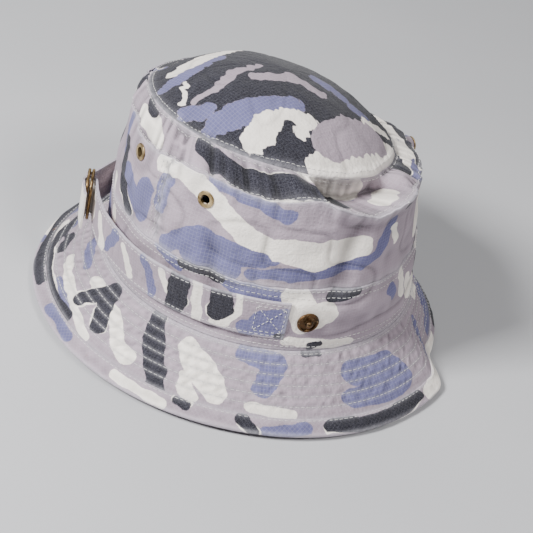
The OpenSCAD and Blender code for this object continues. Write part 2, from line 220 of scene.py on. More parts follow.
def wall_points(a, p):
    """Outer face of the side wall. p is 0 at its foot and 1 at its top."""
    top_r, top_z = wall_top(a)
    scoop, fold = scoop_at(a), plateau(a, *BACK_FOLD, 12)
    z = BAND_H + p * (top_z - BAND_H)
    drawn_in = (top_r - wall_cone(top_z)) * ease((p - 0.5) / 0.5) * calm(a, z, 0.55)
    soft = push(a, z) * (1 - 0.4 * ease(p * 2 - 1))
    lip = (scoop * 3.6 + fold * 2.2) * ease((p - 0.78) / 0.22)
    gathered = seam_puckers(a, 88, 11) * 1.1 * np.exp(-np.abs(top_z - z) / 7)
    low_gather = seam_puckers(a, 70, 12) * 0.4 * np.exp(-np.abs(z - BAND_H) / 5)
    side_seam = sum(np.exp(-(turn_between(a, c) / 2.6) ** 2) for c in (-90, 90))
    seam_dent = side_seam * (1.7 * clouds(a, z, 150, 4.2, 13) - 0.6) * ease((z - 40) / 4)
    moved = lip + gathered + low_gather + seam_dent
    points = outwards(a) * (wall_cone(z) + soft + drawn_in + moved * calm(a, z))[..., None]
    points[..., 2] = z
    return points

def crown_points(angle, place):
    """Outer face of the crown at each angle (column) and place along the line (row)."""
    a, p = np.meshgrid(angle, place)
    out = outwards(a)
    edge_xy, edge_z = tip_edge(a)
    scoop, fold = scoop_at(a), plateau(a, *BACK_FOLD, 12)
    wall = wall_points(a, np.clip(p, 0, 1))
    start = wall_points(a, np.ones(a.shape))
    t = np.clip(p - 1, 0, 1)
    end = np.concatenate([edge_xy, edge_z[..., None]], -1)
    chord = end - start
    inward = -out * (0.42 + 0.3 * scoop)[..., None]
    inward[..., 2] = -0.91 + 0.24 * scoop
    valley = scoop * 19.0 + fold * 13.0
    ridge = 3.4 * bump(a, -42, 8) + 3.0 * bump(a, 16, 9) + 2.5 * bump(a, -144, 9)
    hollow = np.minimum(t / 0.64, (1 - t) / 0.36) ** 0.85
    sag = (valley - ridge - 0.8) * (np.sin(np.pi * t) * (1 - scoop) + hollow * scoop)
    pleats = seam_puckers(a, 78, 21) * 1.7 * (0.45 + 0.55 * np.abs(np.cos(np.pi * t)))
    pleats = pleats + 1.3 * creases(a, t * 3, 54, 10, 24) * np.abs(np.cos(np.pi * t))
    pleats = pleats + 0.8 * clouds(a, t * 20, 40, 9, 22)
    front_gather = plateau(a, -99, -62, 8)
    pleats = pleats * (1 + 0.5 * front_gather)
    pleats = pleats * ease(t / 0.12) * ease((1 - t) / 0.1)
    tack = 2.6 * np.exp(-(turn_between(a, -59) / 1.6) ** 2) * np.sin(np.pi * t)
    band = start + chord * t[..., None] + inward * (sag + pleats + tack)[..., None]

    k = np.clip(3 - p, 0, 1)
    middle = np.concatenate([TIP_CENTRE, [TIP_Z]])
    spread = k + 0.035 * np.sin(np.pi * k)
    tip = middle + (end - middle) * spread[..., None]
    rise = TIP_RISE * (1 - k ** 2.1) + 2.0 * (1 - k) ** 4
    soft = 1.8 * clouds(a, k * 40, 9, 22, 31) * k + 0.6 * clouds(a, k * 70, 40, 11, 32) * k
    soft = soft - 0.8 * creases(a, k * 60, 13, 24, 34) * k
    crimp = seam_puckers(a, 90, 33) * 0.9 * np.exp(-(1 - k) * TIP_R / 4)
    overhang = 1.2 * np.exp(-((1 - k) * TIP_R / 5) ** 2)
    tip[..., 2] += rise + (soft + crimp) * ease((1 - k) / 0.04) + overhang * ease((1 - k) / 0.03)
    points = np.where((p <= 1)[..., None], wall, np.where((p <= 2)[..., None], band, tip))
    points[..., 2] += SEAM_Z
    return points

sample = crown_points(np.arange(0.0, 360, 30), np.linspace(0, 3, 31))
print("crown tops out at", round(sample[..., 2].max(), 1), "mm")

# %% [markdown]
# ## From grid to cloth
# A cloth layer is a grid with a thickness: an outer face, an inner face a cloth's thickness behind it,
# and turned edges that close it. Grids like these are quick to build with plain lists of corners and
# faces. A round layer joins up with itself, and a strip doesn't.

# %% Build a cloth layer
def normals_of(points, round_closed):
    if round_closed:
        along = np.roll(points, -1, 1) - np.roll(points, 1, 1)
    else:
        along = np.gradient(points, axis=1)
    up = np.gradient(points, axis=0)
    n = np.cross(along, up)
    length = np.linalg.norm(n, axis=-1, keepdims=True)
    return n / np.maximum(length, 1e-9)

def relief_of(points, normals, round_closed, reach=4):
    """How far each point stands above (+) or lies below (-) the cloth round it, in mm."""
    smooth = points
    for axis in (0, 1):
        sides = [(reach, reach) if i == axis else (0, 0) for i in range(3)]
        wide = np.pad(smooth, sides, mode="wrap" if axis and round_closed else "reflect")
        n = points.shape[axis]
        parts = [np.take(wide, range(i, i + n), axis) for i in range(2 * reach + 1)]
        smooth = sum(parts) / len(parts)
    return ((points - smooth) * normals).sum(-1)

def layer_faces(rows, columns, round_closed):
    index = np.arange(rows * columns).reshape(rows, columns)
    right = np.roll(index, -1, 1) if round_closed else index[:, 1:]
    here = index if round_closed else index[:, :-1]
    outer = np.stack([here[:-1], right[:-1], right[1:], here[1:]], -1).reshape(-1, 4)
    inner = outer[:, ::-1] + rows * columns
    n = rows * columns
    low = np.stack([here[0], here[0] + n, right[0] + n, right[0]], -1)
    high = np.stack([here[-1], right[-1], right[-1] + n, here[-1] + n], -1)
    rims = [low, high]
    if not round_closed:
        first, last = index[:, 0], index[:, -1]
        rims.append(np.stack([first[:-1], first[1:], first[1:] + n, first[:-1] + n], -1))
        rims.append(np.stack([last[:-1], last[:-1] + n, last[1:] + n, last[1:]], -1))
    return outer, inner, np.concatenate(rims)

def make_mesh(name, corners_mm, faces, cloth_uv=None, fields=None, flat_from=None):
    mesh = bpy.data.meshes.new(name)
    faces = np.asarray(faces)
    mesh.vertices.add(len(corners_mm))
    mesh.vertices.foreach_set("co", (np.asarray(corners_mm) * 0.001).astype(np.float32).ravel())
    mesh.loops.add(faces.size)
    mesh.loops.foreach_set("vertex_index", faces.astype(np.int32).ravel())
    mesh.polygons.add(len(faces))
    mesh.polygons.foreach_set("loop_start", np.arange(0, faces.size, faces.shape[1], dtype=np.int32))
    smooth = np.ones(len(faces), bool)
    if flat_from is not None:
        smooth[flat_from:] = False
    mesh.update(calc_edges=True)
    mesh.polygons.foreach_set("use_smooth", smooth)
    if cloth_uv is not None:
        layer = mesh.uv_layers.new(name="cloth")
        uv = (np.asarray(cloth_uv) * 0.001)[faces.ravel()]
        layer.data.foreach_set("uv", uv.astype(np.float32).ravel())
    for key, values in (fields or {}).items():
        attribute = mesh.attributes.new(key, "FLOAT", "POINT")
        attribute.data.foreach_set("value", np.asarray(values, np.float32).ravel())
    mesh.validate()
    piece = bpy.data.objects.new(name, mesh)
    bpy.context.scene.collection.objects.link(piece)
    return piece

def cloth_layer(name, outer, thickness, cloth_uv, fields=None, round_closed=True, holes=()):
    rows, columns = outer.shape[:2]
    normals = normals_of(outer, round_closed)
    inner = outer - normals * thickness
    if fields:
        fields["relief"] = np.clip(relief_of(outer, normals, round_closed), -1, 1)
    corners = np.concatenate([outer.reshape(-1, 3), inner.reshape(-1, 3)])
    front, back, rims = layer_faces(rows, columns, round_closed)
    middle = corners[front].mean(1)
    keep = np.ones(len(front), bool)
    for centre, radius in holes:
        keep &= np.linalg.norm(middle - centre, axis=1) > radius
    front, back = front[keep], back[keep]
    faces = np.concatenate([front, back, rims])
    uv = np.concatenate([cloth_uv.reshape(-1, 2)] * 2)
    both = {k: np.concatenate([v.ravel(), v.ravel()]) for k, v in (fields or {}).items()}
    piece = make_mesh(name, corners, faces, uv, both, flat_from=len(front) + len(back))
    print(name, len(corners), "corners")
    return piece

# %% [markdown]
# ## The camouflage print
# The print has four colours: a lilac-grey ground, periwinkle, off-white and navy. Each colour is kept
# on the mesh as a number at each corner, the distance in mm inside (+) or outside (-) its patches, and
# the material turns it into colour at zero. So an outline is as sharp as ink, whatever the size of the
# mesh. A patch is a wavy brush stroke, and beyond the strokes the patches come from seeded clouds.

# %% Strokes of the print
STROKE_END = 0.8

def stroke_distance(x, y, half_width, path):
    """Distance inside a brush stroke along the path, a bit narrower at both of its ends."""
    best = np.full(np.shape(x), -1e9)
    if len(path) == 1:
        path = list(path) * 2
    widths = np.full(len(path), half_width * 1.0)
    widths[[0, -1]] *= STROKE_END
    for (x0, y0), (x1, y1), w0, w1 in zip(path[:-1], path[1:], widths[:-1], widths[1:]):
        dx, dy = x1 - x0, y1 - y0
        t = ((x - x0) * dx + (y - y0) * dy) / max(dx * dx + dy * dy, 1e-9)
        t = np.clip(t, 0, 1)
        best = np.maximum(best, w0 + t * (w1 - w0) - np.hypot(x - x0 - t * dx, y - y0 - t * dy))
    return best

def print_fields(angle, x, y, strokes, seed, placed=None, stretch=1.0):
    """Distances of each ink. Strokes are (ink, half width, path)."""
    wave_x = 1.4 * clouds(angle, y, 60, 7, seed) + 0.7 * clouds(angle, y, 150, 3, seed + 1)
    wave_y = 1.4 * clouds(angle, y, 55, 7, seed + 2) + 0.7 * clouds(angle, y, 140, 3, seed + 3)
    fields = {}
    for i, (field, share) in enumerate([("periwinkle", 0.02), ("off_white", 0.24), ("navy", 0.08)]):
        lay = y + 5 * clouds(angle, y, 16, 15, seed + 20 + i)
        turn = angle + 5 * clouds(angle, y, 22, 12, seed + 30 + i)
        wild = clouds(turn, lay * stretch, 13, 13, seed + 10 + i)
        wild = (wild + 0.3 * clouds(turn, lay * stretch, 31, 7, seed + 40 + i) - share) * 12
        drawn = np.full(np.shape(x), -9.0)
        for ink, half_width, path in strokes:
            if ink == field:
                drawn = np.maximum(drawn, stroke_distance(x + wave_x, y + wave_y, half_width, path))
        fields[field] = wild if placed is None else wild * (1 - placed) + drawn * placed
    rim = fields["navy"] - 0.5 + 2.2 * clouds(angle, y, 24, 9, seed + 50)
    fields["off_white"] = np.maximum(fields["off_white"], np.minimum(rim, 2))
    return fields

def round_strokes(strokes, radius):
    """Strokes given as (degrees, mm up) turned into mm round the hat."""
    turn = np.radians(1) * radius
    return [(ink, half_width, [(a * turn, h) for a, h in path]) for ink, half_width, path in strokes]

def print_round(angle, height, strokes, radius, seed, placed_from, placed_to, stretch=1.0):
    placed = plateau(angle, placed_from, placed_to, 10)
    x = np.radians(turn_between(angle, (placed_from + placed_to) / 2)
                   + (placed_from + placed_to) / 2) * radius
    return print_fields(angle, x, height, round_strokes(strokes, radius), seed, placed, stretch)

# %% [markdown]
# ## Cloth material
# Ripstop is a light plain weave with a thicker thread every 2 mm both ways, so it shows as a fine
# square grid. The weave comes from the cloth's own coordinates, in metres along and across the piece,
# so that it keeps its scale and follows the cloth. Colour, wash-out and roughness are all made by nodes.

# %% Helpers for materials
def colour(red, green, blue):
    """An everyday colour, 0 to 255, as the linear one that shaders use."""
    c = np.array([red, green, blue]) / 255
    linear = np.where(c <= 0.04045, c / 12.92, ((c + 0.055) / 1.055) ** 2.4)
    return (*linear.tolist(), 1)

class Nodes:
    """A short way to add nodes to a material and join them."""
    def __init__(self, name):
        self.material = bpy.data.materials.new(name)
        self.material.use_nodes = True
        self.tree = self.material.node_tree
        self.shader = self.tree.nodes["Principled BSDF"]

    def add(self, kind, inputs=None, **settings):
        node = self.tree.nodes.new(kind)
        for key, value in settings.items():
            setattr(node, key, value)
        for key, value in (inputs or {}).items():
            self.put(node.inputs[key], value)
        return node

    def put(self, socket, value):
        if isinstance(value, bpy.types.NodeSocket):
            self.tree.links.new(value, socket)
        else:
            socket.default_value = value

    def math(self, operation, *values, clamp=False):
        node = self.add("ShaderNodeMath", operation=operation, use_clamp=clamp)
        for i, value in enumerate(values):
            self.put(node.inputs[i], value)
        return node.outputs[0]

    def mix(self, share, first, second, blend="MIX"):
        node = self.add("ShaderNodeMix", data_type="RGBA", blend_type=blend)
        self.put(node.inputs["Factor"], share)
        self.put(node.inputs["A"], first)
        self.put(node.inputs["B"], second)
        return node.outputs["Result"]

    def noise(self, vector, scale, detail=2.0, roughness=0.5):
        node = self.add("ShaderNodeTexNoise", {"Vector": vector, "Scale": scale})
        node.inputs["Detail"].default_value = detail
        node.inputs["Roughness"].default_value = roughness
        return node.outputs["Fac"]

    def bump(self, height, strength, distance, normal=None):
        node = self.add("ShaderNodeBump", {"Height": height, "Strength": strength, "Distance": distance})
        if normal is not None:
            self.put(node.inputs["Normal"], normal)
        return node.outputs["Normal"]

    def attribute(self, name):
        return self.add("ShaderNodeAttribute", attribute_name=name).outputs["Fac"]

def thread_line(m, across, pitch, width):
    """1 on a line of the given width every pitch metres, else 0."""
    step = m.math("FRACT", m.math("DIVIDE", across, pitch))
    away = m.math("ABSOLUTE", m.math("SUBTRACT", step, 0.5))
    edge = 0.5 * width / pitch
    return m.math("SUBTRACT", 1.0, m.math("DIVIDE", away, edge), clamp=True)

def weave(m, thread, grid=None):
    """Height of a plain weave, and the mask of the ripstop grid."""
    uv = m.add("ShaderNodeUVMap", uv_map="cloth").outputs["UV"]
    parts = m.add("ShaderNodeSeparateXYZ", {"Vector": uv})
    u, v = parts.outputs["X"], parts.outputs["Y"]
    wave = 2 * np.pi / thread
    over = m.math("SINE", m.math("MULTIPLY", u, wave))
    under = m.math("SINE", m.math("MULTIPLY", v, wave))
    height = m.math("MULTIPLY", over, under)
    if grid is None:
        return uv, height, None
    lines = m.math("MAXIMUM", thread_line(m, u, grid, 0.00042), thread_line(m, v, grid, 0.00042))
    return uv, height, lines

# %% [markdown]
# The outer cloth mixes its four inks by the distances kept on the mesh. Washing has lifted some ink
# from the high threads, so a fine speckle lightens the navy, a broad cloud shifts every colour a
# little, and the edges and seams, marked on the mesh as worn, are paler. Each corner also keeps its
# relief, how far it stands above the cloth round it. From it the hollows get painted shade and the
# ridges a painted highlight, so that small folds still show in soft light.

# %% Outer cloth
GROUND, PERIWINKLE = colour(156, 141, 152), colour(94, 93, 135)
OFF_WHITE, NAVY = colour(246, 238, 228), colour(19, 17, 27)

def printed_cloth(name, stains=0.0, grid_share=0.13):
    m = Nodes(name)
    uv, height, lines = weave(m, 0.0005, 0.002)
    place = m.add("ShaderNodeTexCoord").outputs["Object"]
    frayed = m.math("MULTIPLY", m.math("SUBTRACT", m.noise(place, 900, 2), 0.5), 0.8)
    shade = GROUND
    for ink, paint in (("periwinkle", PERIWINKLE), ("off_white", OFF_WHITE), ("navy", NAVY)):
        inside = m.math("ADD", m.attribute(ink), frayed)
        inside = m.math("ADD", m.math("MULTIPLY", inside, 2.6), 0.5, clamp=True)
        shade = m.mix(inside, shade, paint)
    speckle = m.math("MULTIPLY", m.math("SUBTRACT", m.noise(place, 1500, 3, 0.7), 0.42), 0.36, clamp=True)
    shade = m.mix(speckle, shade, colour(176, 178, 196), "MIX")
    broad = m.math("MULTIPLY_ADD", m.noise(place, 22, 3), 0.34, 0.83)
    shade = m.mix(1.0, shade, m.add("ShaderNodeCombineColor", {"Red": broad, "Green": broad,
                  "Blue": broad}).outputs["Color"], "MULTIPLY")
    # Painted shade in the hollows and painted highlight on the ridges, both taken from the relief.
    relief = m.attribute("relief")
    depth = m.math("MAXIMUM", m.math("MULTIPLY_ADD", relief, 0.9, 1.0), 0.45)
    depth = m.math("MINIMUM", depth, 1.22)
    shade = m.mix(1.0, shade, m.add("ShaderNodeCombineColor", {"Red": depth, "Green": depth,
                  "Blue": depth}).outputs["Color"], "MULTIPLY")
    pale_share = m.math("MULTIPLY_ADD", inside, -0.75 * grid_share, grid_share)
    shade = m.mix(m.math("MULTIPLY", lines, pale_share), shade, colour(226, 224, 232))
    worn = m.math("MULTIPLY", m.attribute("worn"), m.noise(place, 420, 3, 0.65))
    shade = m.mix(worn, shade, colour(214, 212, 220))
    if stains:
        spot = m.math("MULTIPLY", m.math("SUBTRACT", m.noise(place, 75, 4, 0.6), 0.665), 14, clamp=True)
        shade = m.mix(m.math("MULTIPLY", spot, stains), shade, colour(132, 96, 74))
    m.put(m.shader.inputs["Base Color"], shade)
    rough = m.math("MULTIPLY_ADD", m.noise(place, 300, 2), 0.18, 0.76)
    m.put(m.shader.inputs["Roughness"], rough)
    m.shader.inputs["Sheen Weight"].default_value = 0.12
    m.shader.inputs["Specular IOR Level"].default_value = 0.25
    crinkle = m.math("ADD", m.noise(place, 240, 4, 0.65), m.math("MULTIPLY", m.noise(place, 700, 2), 0.4))
    n = m.bump(crinkle, 0.6, 0.0013)
    n = m.bump(m.math("ADD", m.math("MULTIPLY", height, 0.5), lines), 0.45, 0.0001, n)
    m.put(m.shader.inputs["Normal"], n)
    return m.material

camouflage = printed_cloth("camouflage_ripstop")
binding_cloth = printed_cloth("camouflage_binding", stains=0.75)
print("outer cloth uses", len(camouflage.node_tree.nodes), "nodes")

# %% [markdown]
# ## Inside cloths, thread and brass
# The inside is plain: an undyed lining, a cotton twill sweatband and herringbone tapes, each a pale
# cloth with its own weave. Thread is twisted white cotton. The brass is antiqued: dark brown in its
# low places, rubbed back to gold where it is touched, and a little uneven in its shine.

# %% Plain cloths
def plain_cloth(name, base, dirt, thread=0.0006, grain=0.4):
    m = Nodes(name)
    uv, height, _ = weave(m, thread)
    place = m.add("ShaderNodeTexCoord").outputs["Object"]
    soil = m.math("MULTIPLY", m.noise(place, 60, 4, 0.6), 0.5)
    shade = m.mix(soil, colour(*base), colour(*dirt))
    m.put(m.shader.inputs["Base Color"], shade)
    m.put(m.shader.inputs["Roughness"], m.math("MULTIPLY_ADD", m.noise(place, 400, 2), 0.15, 0.8))
    m.shader.inputs["Sheen Weight"].default_value = 0.1
    m.put(m.shader.inputs["Normal"], m.bump(height, grain, 0.00015))
    return m.material

lining = plain_cloth("inner_cloth", (176, 178, 196), (128, 130, 152))
sweat_cotton = plain_cloth("sweatband_cotton", (226, 222, 210), (186, 174, 150), 0.0008)
stiff_cloth = plain_cloth("stiffener_canvas", (222, 220, 212), (196, 192, 180), 0.0010)
tape_cloth = plain_cloth("seam_tape", (206, 206, 212), (170, 170, 182), 0.0007)
thread_white = plain_cloth("white_thread", (238, 236, 232), (196, 194, 200), 0.0004, 0.6)

# %% [markdown]
# The fittings are old brass. Clouds of dark patina lie over a lighter metal, and small spots are
# rubbed bright. The same recipe gives three finishes: the eyelets are the brightest, the rings are
# duller, and the press stud is nearly brown.

# %% Antique brass
def brass(name, low, high):
    m = Nodes(name)
    place = m.add("ShaderNodeTexCoord").outputs["Object"]
    cloudy = m.noise(place, 180, 3, 0.55)
    dark = m.math("MULTIPLY", m.math("SUBTRACT", cloudy, 0.36), 3.2, clamp=True)
    shade = m.mix(dark, colour(*low), colour(*high))
    rubbed = m.math("MULTIPLY", m.math("SUBTRACT", m.noise(place, 700, 2), 0.55), 5, clamp=True)
    shade = m.mix(m.math("MULTIPLY", rubbed, 0.3), shade, colour(226, 204, 156))
    m.put(m.shader.inputs["Base Color"], shade)
    m.shader.inputs["Metallic"].default_value = 0.85
    m.put(m.shader.inputs["Roughness"], m.math("MULTIPLY_ADD", cloudy, 0.25, 0.28))
    m.put(m.shader.inputs["Normal"], m.bump(m.noise(place, 900, 2), 0.12, 0.0002))
    return m.material

antique_brass = brass("antique_brass", (84, 66, 44), (160, 132, 88))
bright_brass = brass("bright_brass", (112, 92, 60), (204, 180, 134))
dark_brass = brass("dark_brass", (38, 28, 20), (112, 82, 52))
METALS = {"eyelets": bright_brass, "eyelet_washers": bright_brass, "press_stud": dark_brass,
          "press_stud_back": antique_brass, "d_ring_outer": antique_brass, "d_ring_inner": antique_brass}
for node, metal in METALS.items():
    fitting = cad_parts[node]
    fitting.data.materials.clear()
    fitting.data.materials.append(metal)
print("brass on the fittings")

# %% [markdown]
# ## Putting pieces on the hat
# Every cloth piece wears one material, hides the CAD nodes it covers, and rides on the hat's body unless it
# is given none.

# %% Dress a piece
def dress(piece, material, slot, *nodes, body="hat"):
    piece.data.materials.append(material)
    if nodes:
        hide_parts(*nodes)
    if body:
        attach(piece, body)
    return piece

def worn_near(distance_mm, reach):
    return 0.9 * np.exp(-np.abs(distance_mm) / reach)

# %% [markdown]
# ## Side wall
# The wall is two panels, joined at each side between a pair of eyelets. Both come from the same crown
# grid. The panel at the front carries a long pale river of print across it.

# %% Side wall panels
WALL_PRINT = [
    ("off_white", 5.5, [(-93, 83), (-82, 85), (-74, 79), (-65, 73), (-56, 64), (-46, 61)]),
    ("off_white", 7.5, [(-46, 61), (-32, 58), (-23, 62), (-15, 67)]),
    ("periwinkle", 5.0, [(-71, 86), (-55, 86), (-44, 79)]),
    ("periwinkle", 7.0, [(-84, 43), (-73, 54), (-58, 54), (-47, 57)]),
    ("periwinkle", 9.0, [(-74, 46), (-60, 44)]),
    ("periwinkle", 4.5, [(-52, 45), (-35, 48), (-22, 51), (-8, 60), (-4, 76)]),
    ("periwinkle", 6.0, [(-90, 60), (-89, 76)]),
    ("periwinkle", 8.0, [(-112, 62), (-100, 50), (-98, 66)]),
    ("periwinkle", 5.0, [(-124, 84), (-121, 68)]),
    ("navy", 5.0, [(-120, 72), (-117, 54), (-107, 42)]),
    ("navy", 5.0, [(12, 88), (2, 84)]),
    ("off_white", 4.0, [(-124, 46), (-121, 36)]),
    ("off_white", 3.0, [(-2, 72), (1, 62)]),
]
STEP = 0.9

def crown_layer(name, first, last, place_from, place_to, rows, thickness, strokes, seed,
                radius=90, length=48.0, depth=0.0):
    """A part of the crown from one angle to another, or all round where they are 360 apart."""
    whole = last - first >= 360
    columns = int((last - first) / STEP * 1.35)
    angle = np.linspace(first, last, columns, endpoint=not whole)
    place = np.linspace(place_from, place_to, rows)
    outer = crown_points(angle, place)
    if depth:
        outer = outer - normals_of(outer, whole) * depth
    a, p = np.meshgrid(angle, place)
    height = BAND_H + p * length if place_to <= 1 else (p - 1) * length
    uv = np.stack([np.radians(a) * radius, height], -1)
    fields = {}
    if strokes is not None:
        fields = print_round(a, height, strokes, radius, seed, -134, 22)
        seam = sum(worn_near(turn_between(a, c) * 1.57, 2.2) for c in (-90, 90))
        ends = worn_near(height - height.max(), 1.6) + worn_near(height - height.min(), 1.6)
        fields["worn"] = np.clip(seam * (place_to <= 1) + ends, 0, 1) * 0.8
    holes = []
    for at, up in EYELETS:
        centre = outwards(np.array(float(at))) * wall_cone(up)
        centre[2] = up + SEAM_Z
        holes.append((centre, 2.9))
    return cloth_layer(name, outer, thickness, uv, fields, whole, holes)

front_wall = crown_layer("side_wall_front_cloth", -90, 90, 0, 1, 56, CLOTH, WALL_PRINT, 100)
dress(front_wall, camouflage, "camouflage_ripstop", "side_wall_front")
back_wall = crown_layer("side_wall_back_cloth", 90, 270, 0, 1, 56, CLOTH, WALL_PRINT, 100)
dress(back_wall, camouflage, "camouflage_ripstop", "side_wall_back")

# %% [markdown]
# ## Upper band
# A narrow band joins the wall to the smaller tip. It is cut too long and eased in, so it gathers at
# both seams. It sinks behind the lip at the front left, and again at the back.

# %% Upper band
UPPER_PRINT_AND_PAINTED_LIGHT = [
    ("navy", 7.0, [(-78, 13), (-66, 9), (-40, 8), (-34, 6)]),
    ("navy", 5.0, [(-76, 17), (-72, 6)]),
    # Painted highlight: this thin off-white line stands for light on the top edge of the wall's fold.
    ("off_white", 3.0, [(-52, 2), (-37, 1)]),
    ("off_white", 6.0, [(-119, 8), (-108, 10), (-99, 6)]),
    ("navy", 4.0, [(-118, 17), (-110, 15)]),
    ("off_white", 4.0, [(-34, 17), (-20, 17), (-4, 15)]),
    ("periwinkle", 3.0, [(-14, 15), (-8, 14)]),
    # Navy print in the scoop's valley, also put there as painted shade for the dark gap under the tip's
    # edge.
    ("navy", 5.0, [(-27, 9), (-19, 10)]),
    ("off_white", 4.0, [(-4, 6), (6, 8)]),
]
upper = crown_layer("upper_band_cloth", -180, 180, 1, 2, 30, CLOTH, UPPER_PRINT_AND_PAINTED_LIGHT, 200, 82, 20.0)
dress(upper, camouflage, "camouflage_ripstop", "upper_band")

# %% [markdown]
# ## Tip
# The tip is a flat disc of cloth, pulled into a dome by its seam and by the head. Its print runs
# straight across the disc, so its cloth coordinates are flat ones, not turned ones.

# %% Tip
TIP_PRINT = [
    ("lilac", 3.0, [(-62, 7), (-46, 4), (-30, 9), (-12, 7)]),
    ("lilac", 4.0, [(-24, -1), (-4, -9), (6, -24)]),
    ("lilac", 13.0, [(-16, -54), (4, -52), (26, -55)]),
    ("off_white", 10.0, [(-55, -36), (-42, -34), (-30, -34)]),
    ("off_white", 8.0, [(-28, -34), (-20, -39)]),
    ("off_white", 4.0, [(-24, -42), (-29, -46)]),
    ("periwinkle", 8.0, [(-66, -15), (-54, -18), (-36, -22), (-20, -27)]),
    ("periwinkle", 6.5, [(-70, 4), (-62, -4)]),
    ("periwinkle", 5.0, [(16, -11), (23, -26)]),
    ("periwinkle", 5.0, [(25, -34), (32, -40)]),
    ("periwinkle", 5.0, [(-61, 32), (-44, 30), (-18, 31)]),
    ("off_white", 6.0, [(-46, 40), (-30, 38), (-10, 40), (6, 44)]),
    ("off_white", 2.2, [(-52, 24), (-66, 11)]),
    ("off_white", 10.0, [(-32, -64), (-12, -69), (12, -68), (40, -62)]),
    ("off_white", 5.0, [(28, -44), (48, -46)]),
    ("navy", 5.0, [(-32, -38), (-44, -47)]),
]
angle = np.linspace(-180, 180, 520, endpoint=False)
place = 2 + 0.998 * np.linspace(0, 1, 80)
outer = crown_points(angle, place)
a, p = np.meshgrid(angle, place)
cloth_r = (3 - p) * TIP_R * 1.06
flat = outwards(a)[..., :2] * cloth_r[..., None]
x, y = flat[..., 0], flat[..., 1]
warp_angle, warp_height = x * 2.4, y * 1.7
fields = print_fields(warp_angle, x, y, TIP_PRINT, 300, np.clip((66 - y) / 20, 0, 1))
pale = np.full(x.shape, -9.0)
wave_x = 1.6 * clouds(warp_angle, warp_height, 60, 7, 320)
wave_y = 1.6 * clouds(warp_angle, warp_height, 55, 7, 321)
for ink, half_width, path in TIP_PRINT:
    if ink == "lilac":
        pale = np.maximum(pale, stroke_distance(x + wave_x, y + wave_y, half_width, path))
fields["periwinkle"] = np.minimum(fields["periwinkle"], -pale)
fields["off_white"] = np.minimum(fields["off_white"], -pale)
others = np.maximum(np.maximum(fields["periwinkle"], fields["off_white"]), pale)
drawn_navy = np.maximum(fields["navy"], -others)
fields["navy"] = np.where(y > 62, fields["navy"], drawn_navy)
fields["worn"] = worn_near((1 - (3 - p)) * TIP_R, 1.5) * 0.8
tip = cloth_layer("crown_tip_cloth", outer, CLOTH, flat, fields)
dress(tip, camouflage, "camouflage_ripstop", "crown_tip")

# %% [markdown]
# ## Lower band
# The lower band is a straight strip over the foot of the wall. Two rows of stitching hold it above and
# below. Inside it lie a second cloth, the facing, and the sweatband, which is free along its top edge.

# %% Lower band and what lies behind it
BAND_PRINT = [
    ("navy", 4.5, [(-22, 36), (-14, 38)]),
    ("off_white", 9.0, [(-36, 36), (-31, 22), (-24, 26)]),
    ("off_white", 4.0, [(-36, 8), (-24, 4), (-12, 3)]),
    ("navy", 3.5, [(-27, 2), (-24, 4)]),
    ("periwinkle", 5.0, [(-56, 35), (-41, 34)]),
    ("periwinkle", 4.0, [(4, 30), (8, 22)]),
    ("off_white", 5.0, [(12, 34), (16, 20)]),
    ("off_white", 4.0, [(20, 26), (24, 10)]),
    ("periwinkle", 4.0, [(-66, 38), (-57, 36)]),
    ("navy", 5.0, [(-76, 37), (-62, 37)]),
    ("periwinkle", 5.0, [(-86, 39), (-78, 34)]),
    ("off_white", 5.0, [(-118, 30), (-112, 18)]),
    ("periwinkle", 6.0, [(-130, 26), (-122, 12)]),
]

def upright_layer(name, radius, low, high, rows, thickness, fields_of=None, wavy=0.0):
    """A cloth that stands round the hat, moved by the same push as the crown."""
    angle = np.linspace(-180, 180, 576, endpoint=False)
    a, z = np.meshgrid(angle, np.linspace(low, high, rows))
    r = radius + push(a, z) + wavy * clouds(a, z, 18, 12, 41) * ease((z - low) / 14)
    outer = outwards(a) * r[..., None]
    outer[..., 2] = z + SEAM_Z
    uv = np.stack([np.radians(a) * radius, z], -1)
    return cloth_layer(name, outer, thickness, uv, fields_of(a, z) if fields_of else None, True)

def band_fields(a, z):
    fields = print_round(a, z, BAND_PRINT, BAND_R, 400, -134, 28)
    fields["worn"] = np.clip(worn_near(z - BAND_H, 1.5) + worn_near(z, 1.5), 0, 1) * 0.9
    return fields

band = upright_layer("lower_band_cloth", BAND_R, 0, BAND_H, 44, CLOTH, band_fields)
dress(band, camouflage, "camouflage_ripstop", "lower_band")
tuck = upright_layer("wall_tuck_cloth", BAND_R - CLOTH, BAND_H - 7, BAND_H + 0.2, 9, CLOTH, band_fields)
dress(tuck, camouflage, "camouflage_ripstop")
facing = upright_layer("lower_band_facing_cloth", BAND_R - CLOTH, 0, BAND_H - 7.5, 16, CLOTH)
dress(facing, lining, "inner_cloth", "lower_band_facing")
sweat_low, sweat_high = box_mm("sweatband")
sweatband = upright_layer("sweatband_twill", sweat_high[0], sweat_low[2] - SEAM_Z,
                          sweat_high[2] - SEAM_Z, 22, CLOTH, None, -0.5)
dress(sweatband, sweat_cotton, "sweatband_cotton", "sweatband")

# %% [markdown]
# ## Tapes inside the crown
# Narrow tapes hide the raw edges of the seams. They follow the crown's inner face, so they are taken
# from the same grid, moved in by the cloth's thickness.

